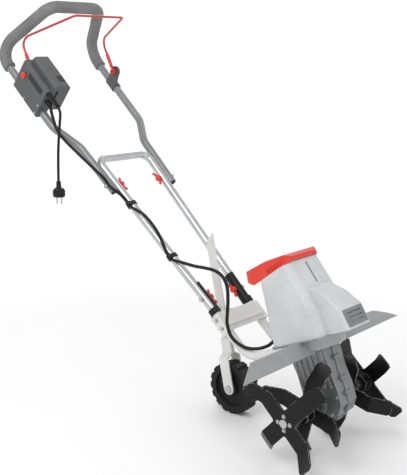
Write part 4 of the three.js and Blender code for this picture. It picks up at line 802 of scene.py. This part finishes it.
# %% Gearbox screws
GEARBOX_FACE, GEARBOX_SCREW_R, GEARBOX_SCREW_TALL = 0.032, 0.0045, 0.003
parts = []
for side in (-1, 1):
    for u, w in ((-0.028, 0.024), (-0.012, -0.026), (0.030, -0.026), (0.054, 0.010)):
        foot = on_head(u, w, side * GEARBOX_FACE)
        parts.append(screw("screw", foot, SIDE * side, GEARBOX_SCREW_R, GEARBOX_SCREW_TALL))
dress(joined("gearbox_screws", parts), "chassis", "steel")
print("gearbox screws", len(parts))

# %% Switch box fittings
BOX_FACE_Y, BOX_END_N = -0.178, 0.0983
BOX_SCREW_R, BOX_SCREW_TALL = 0.0030, 0.0014
PLATE_LIFT, PLATE_SINK, PLATE_BEVEL = 0.0007, 0.0003, 0.0002


def plate(name, corners, lift, body_normal):
    """A thin plate with rounded rims on four corners of a face."""
    made = bmesh.new()
    low = [made.verts.new(c - body_normal * PLATE_SINK) for c in corners]
    high = [made.verts.new(c + body_normal * lift) for c in corners]
    made.faces.new(low[::-1])
    made.faces.new(high)
    for k in range(4):
        made.faces.new([low[k], low[(k + 1) % 4], high[(k + 1) % 4], high[k]])
    bmesh.ops.recalc_face_normals(made, faces=made.faces)
    bmesh.ops.bevel(made, geom=made.edges, offset=min(PLATE_BEVEL, lift / 3), segments=2, affect="EDGES")
    return solid(name, made)


strip_face = ((0.722, 0.050), (0.790, 0.050), (0.790, 0.066), (0.722, 0.066))
strip = plate("blank_strip", [on_handle(t, n, BOX_FACE_Y) for t, n in strip_face], PLATE_LIFT, -SIDE)
dress(strip, "upper_handle", "black_strip")
parts = [screw("screw", on_handle(t, n, BOX_FACE_Y), -SIDE, BOX_SCREW_R, BOX_SCREW_TALL)
         for t, n in ((0.714, -0.006), (0.714, 0.020), (0.772, -0.006))]
dress(joined("box_screws", parts), "upper_handle", "steel")
window_face = ((0.722, -0.136), (0.742, -0.136), (0.742, -0.118), (0.722, -0.118))
window = plate("dark_window", [on_handle(t, BOX_END_N, y) for t, y in window_face], PLATE_LIFT, out_handle)
dress(window, "upper_handle", "window")
print("box fittings", strip.name, window.name)

# %% Gearbox seam
SEAM_R, SEAM_BOSS_R, SEAM_BOSS_HALF = 0.0042, 0.0052, 0.010
SEAM_BOLT_R, SEAM_BOLT_TALL = 0.0030, 0.0022
seam_outline = [(62.5, 149), (60.5, 66), (64.5, 30), (62.5, -8), (44, -32.5), (14, -40.5), (-19, -34.5)]
seam_corners = [on_head(u / 1000, w / 1000, 0) for u, w in seam_outline]
parts = [sweep("bead", rounded(seam_corners, (0.03, 0.03, 0.02, 0.015, 0.012), 5), SEAM_R, 20)]
for u, w in ((64, 134), (63, 98), (63.5, 48), (65, 14), (54, -22), (20, -41)):
    spot = on_head(u / 1000, w / 1000, 0)
    parts.append(sweep("boss", [spot - SIDE * SEAM_BOSS_HALF, spot + SIDE * SEAM_BOSS_HALF], SEAM_BOSS_R, 24))
    for side in (-1, 1):
        parts.append(hex_bolt("bolt", spot + SIDE * side * SEAM_BOSS_HALF, SIDE * side, SEAM_BOLT_R,
                              SEAM_BOLT_TALL))
dress(joined("gearbox_seam", parts), "chassis", "gear_alloy")
print("gearbox seam", len(parts))

# %% Plain line on the hood: a raised strip in darker grey that paints the shade of its groove
# The groove is painted as shade: a darker strip raised on the face, not a cut into it.
LINE_HALF, LINE_LIFT = 0.0025, 0.0008
LINE_LOW, LINE_HIGH = (0.0752, 0.272), (0.0604, 0.322)
line_face = [on_head(*end, y) for end, y in ((LINE_LOW, -LINE_HALF), (LINE_LOW, LINE_HALF),
                                             (LINE_HIGH, LINE_HALF), (LINE_HIGH, -LINE_HALF))]
dress(plate("hood_groove_painted_shade", line_face, LINE_LIFT, along_head), "chassis", "vent_grey")
print("line on the hood")

# %% Painted shade: a black sheet just inside the cap, behind its slots
# The slots look dark because the inside of the cap lies in shade; this black sheet paints that shade.
CAP_INNER, CAP_FROM_W, CAP_LEAN, PAINTED_SHADE_LIFT = 0.0644, 0.280, 0.1, 0.0003
painted_shade_face = ((-0.008, 0.3175), (0.052, 0.3330), (0.052, 0.3440), (-0.008, 0.3420))
parts = []
for side in (-1, 1):
    corners = [on_head(u, w, side * (CAP_INNER - (w - CAP_FROM_W) * CAP_LEAN)) for u, w in painted_shade_face]
    parts.append(plate("painted_shade_sheet", corners, PAINTED_SHADE_LIFT, SIDE * side))
dress(joined("cap_painted_shade_sheet", parts), "chassis", "black_strip")

# %% Stud bolts of the cross channel
STUD_R, STUD_TALL, CHANNEL_FACE = 0.0042, 0.0045, 0.0763
parts = [hex_bolt("stud", on_handle(t, 0, side * CHANNEL_FACE), SIDE * side, STUD_R, STUD_TALL)
         for side in (-1, 1) for t in (-0.025, -0.050)]
dress(joined("channel_studs", parts), "chassis", "steel")
print("studs placed")
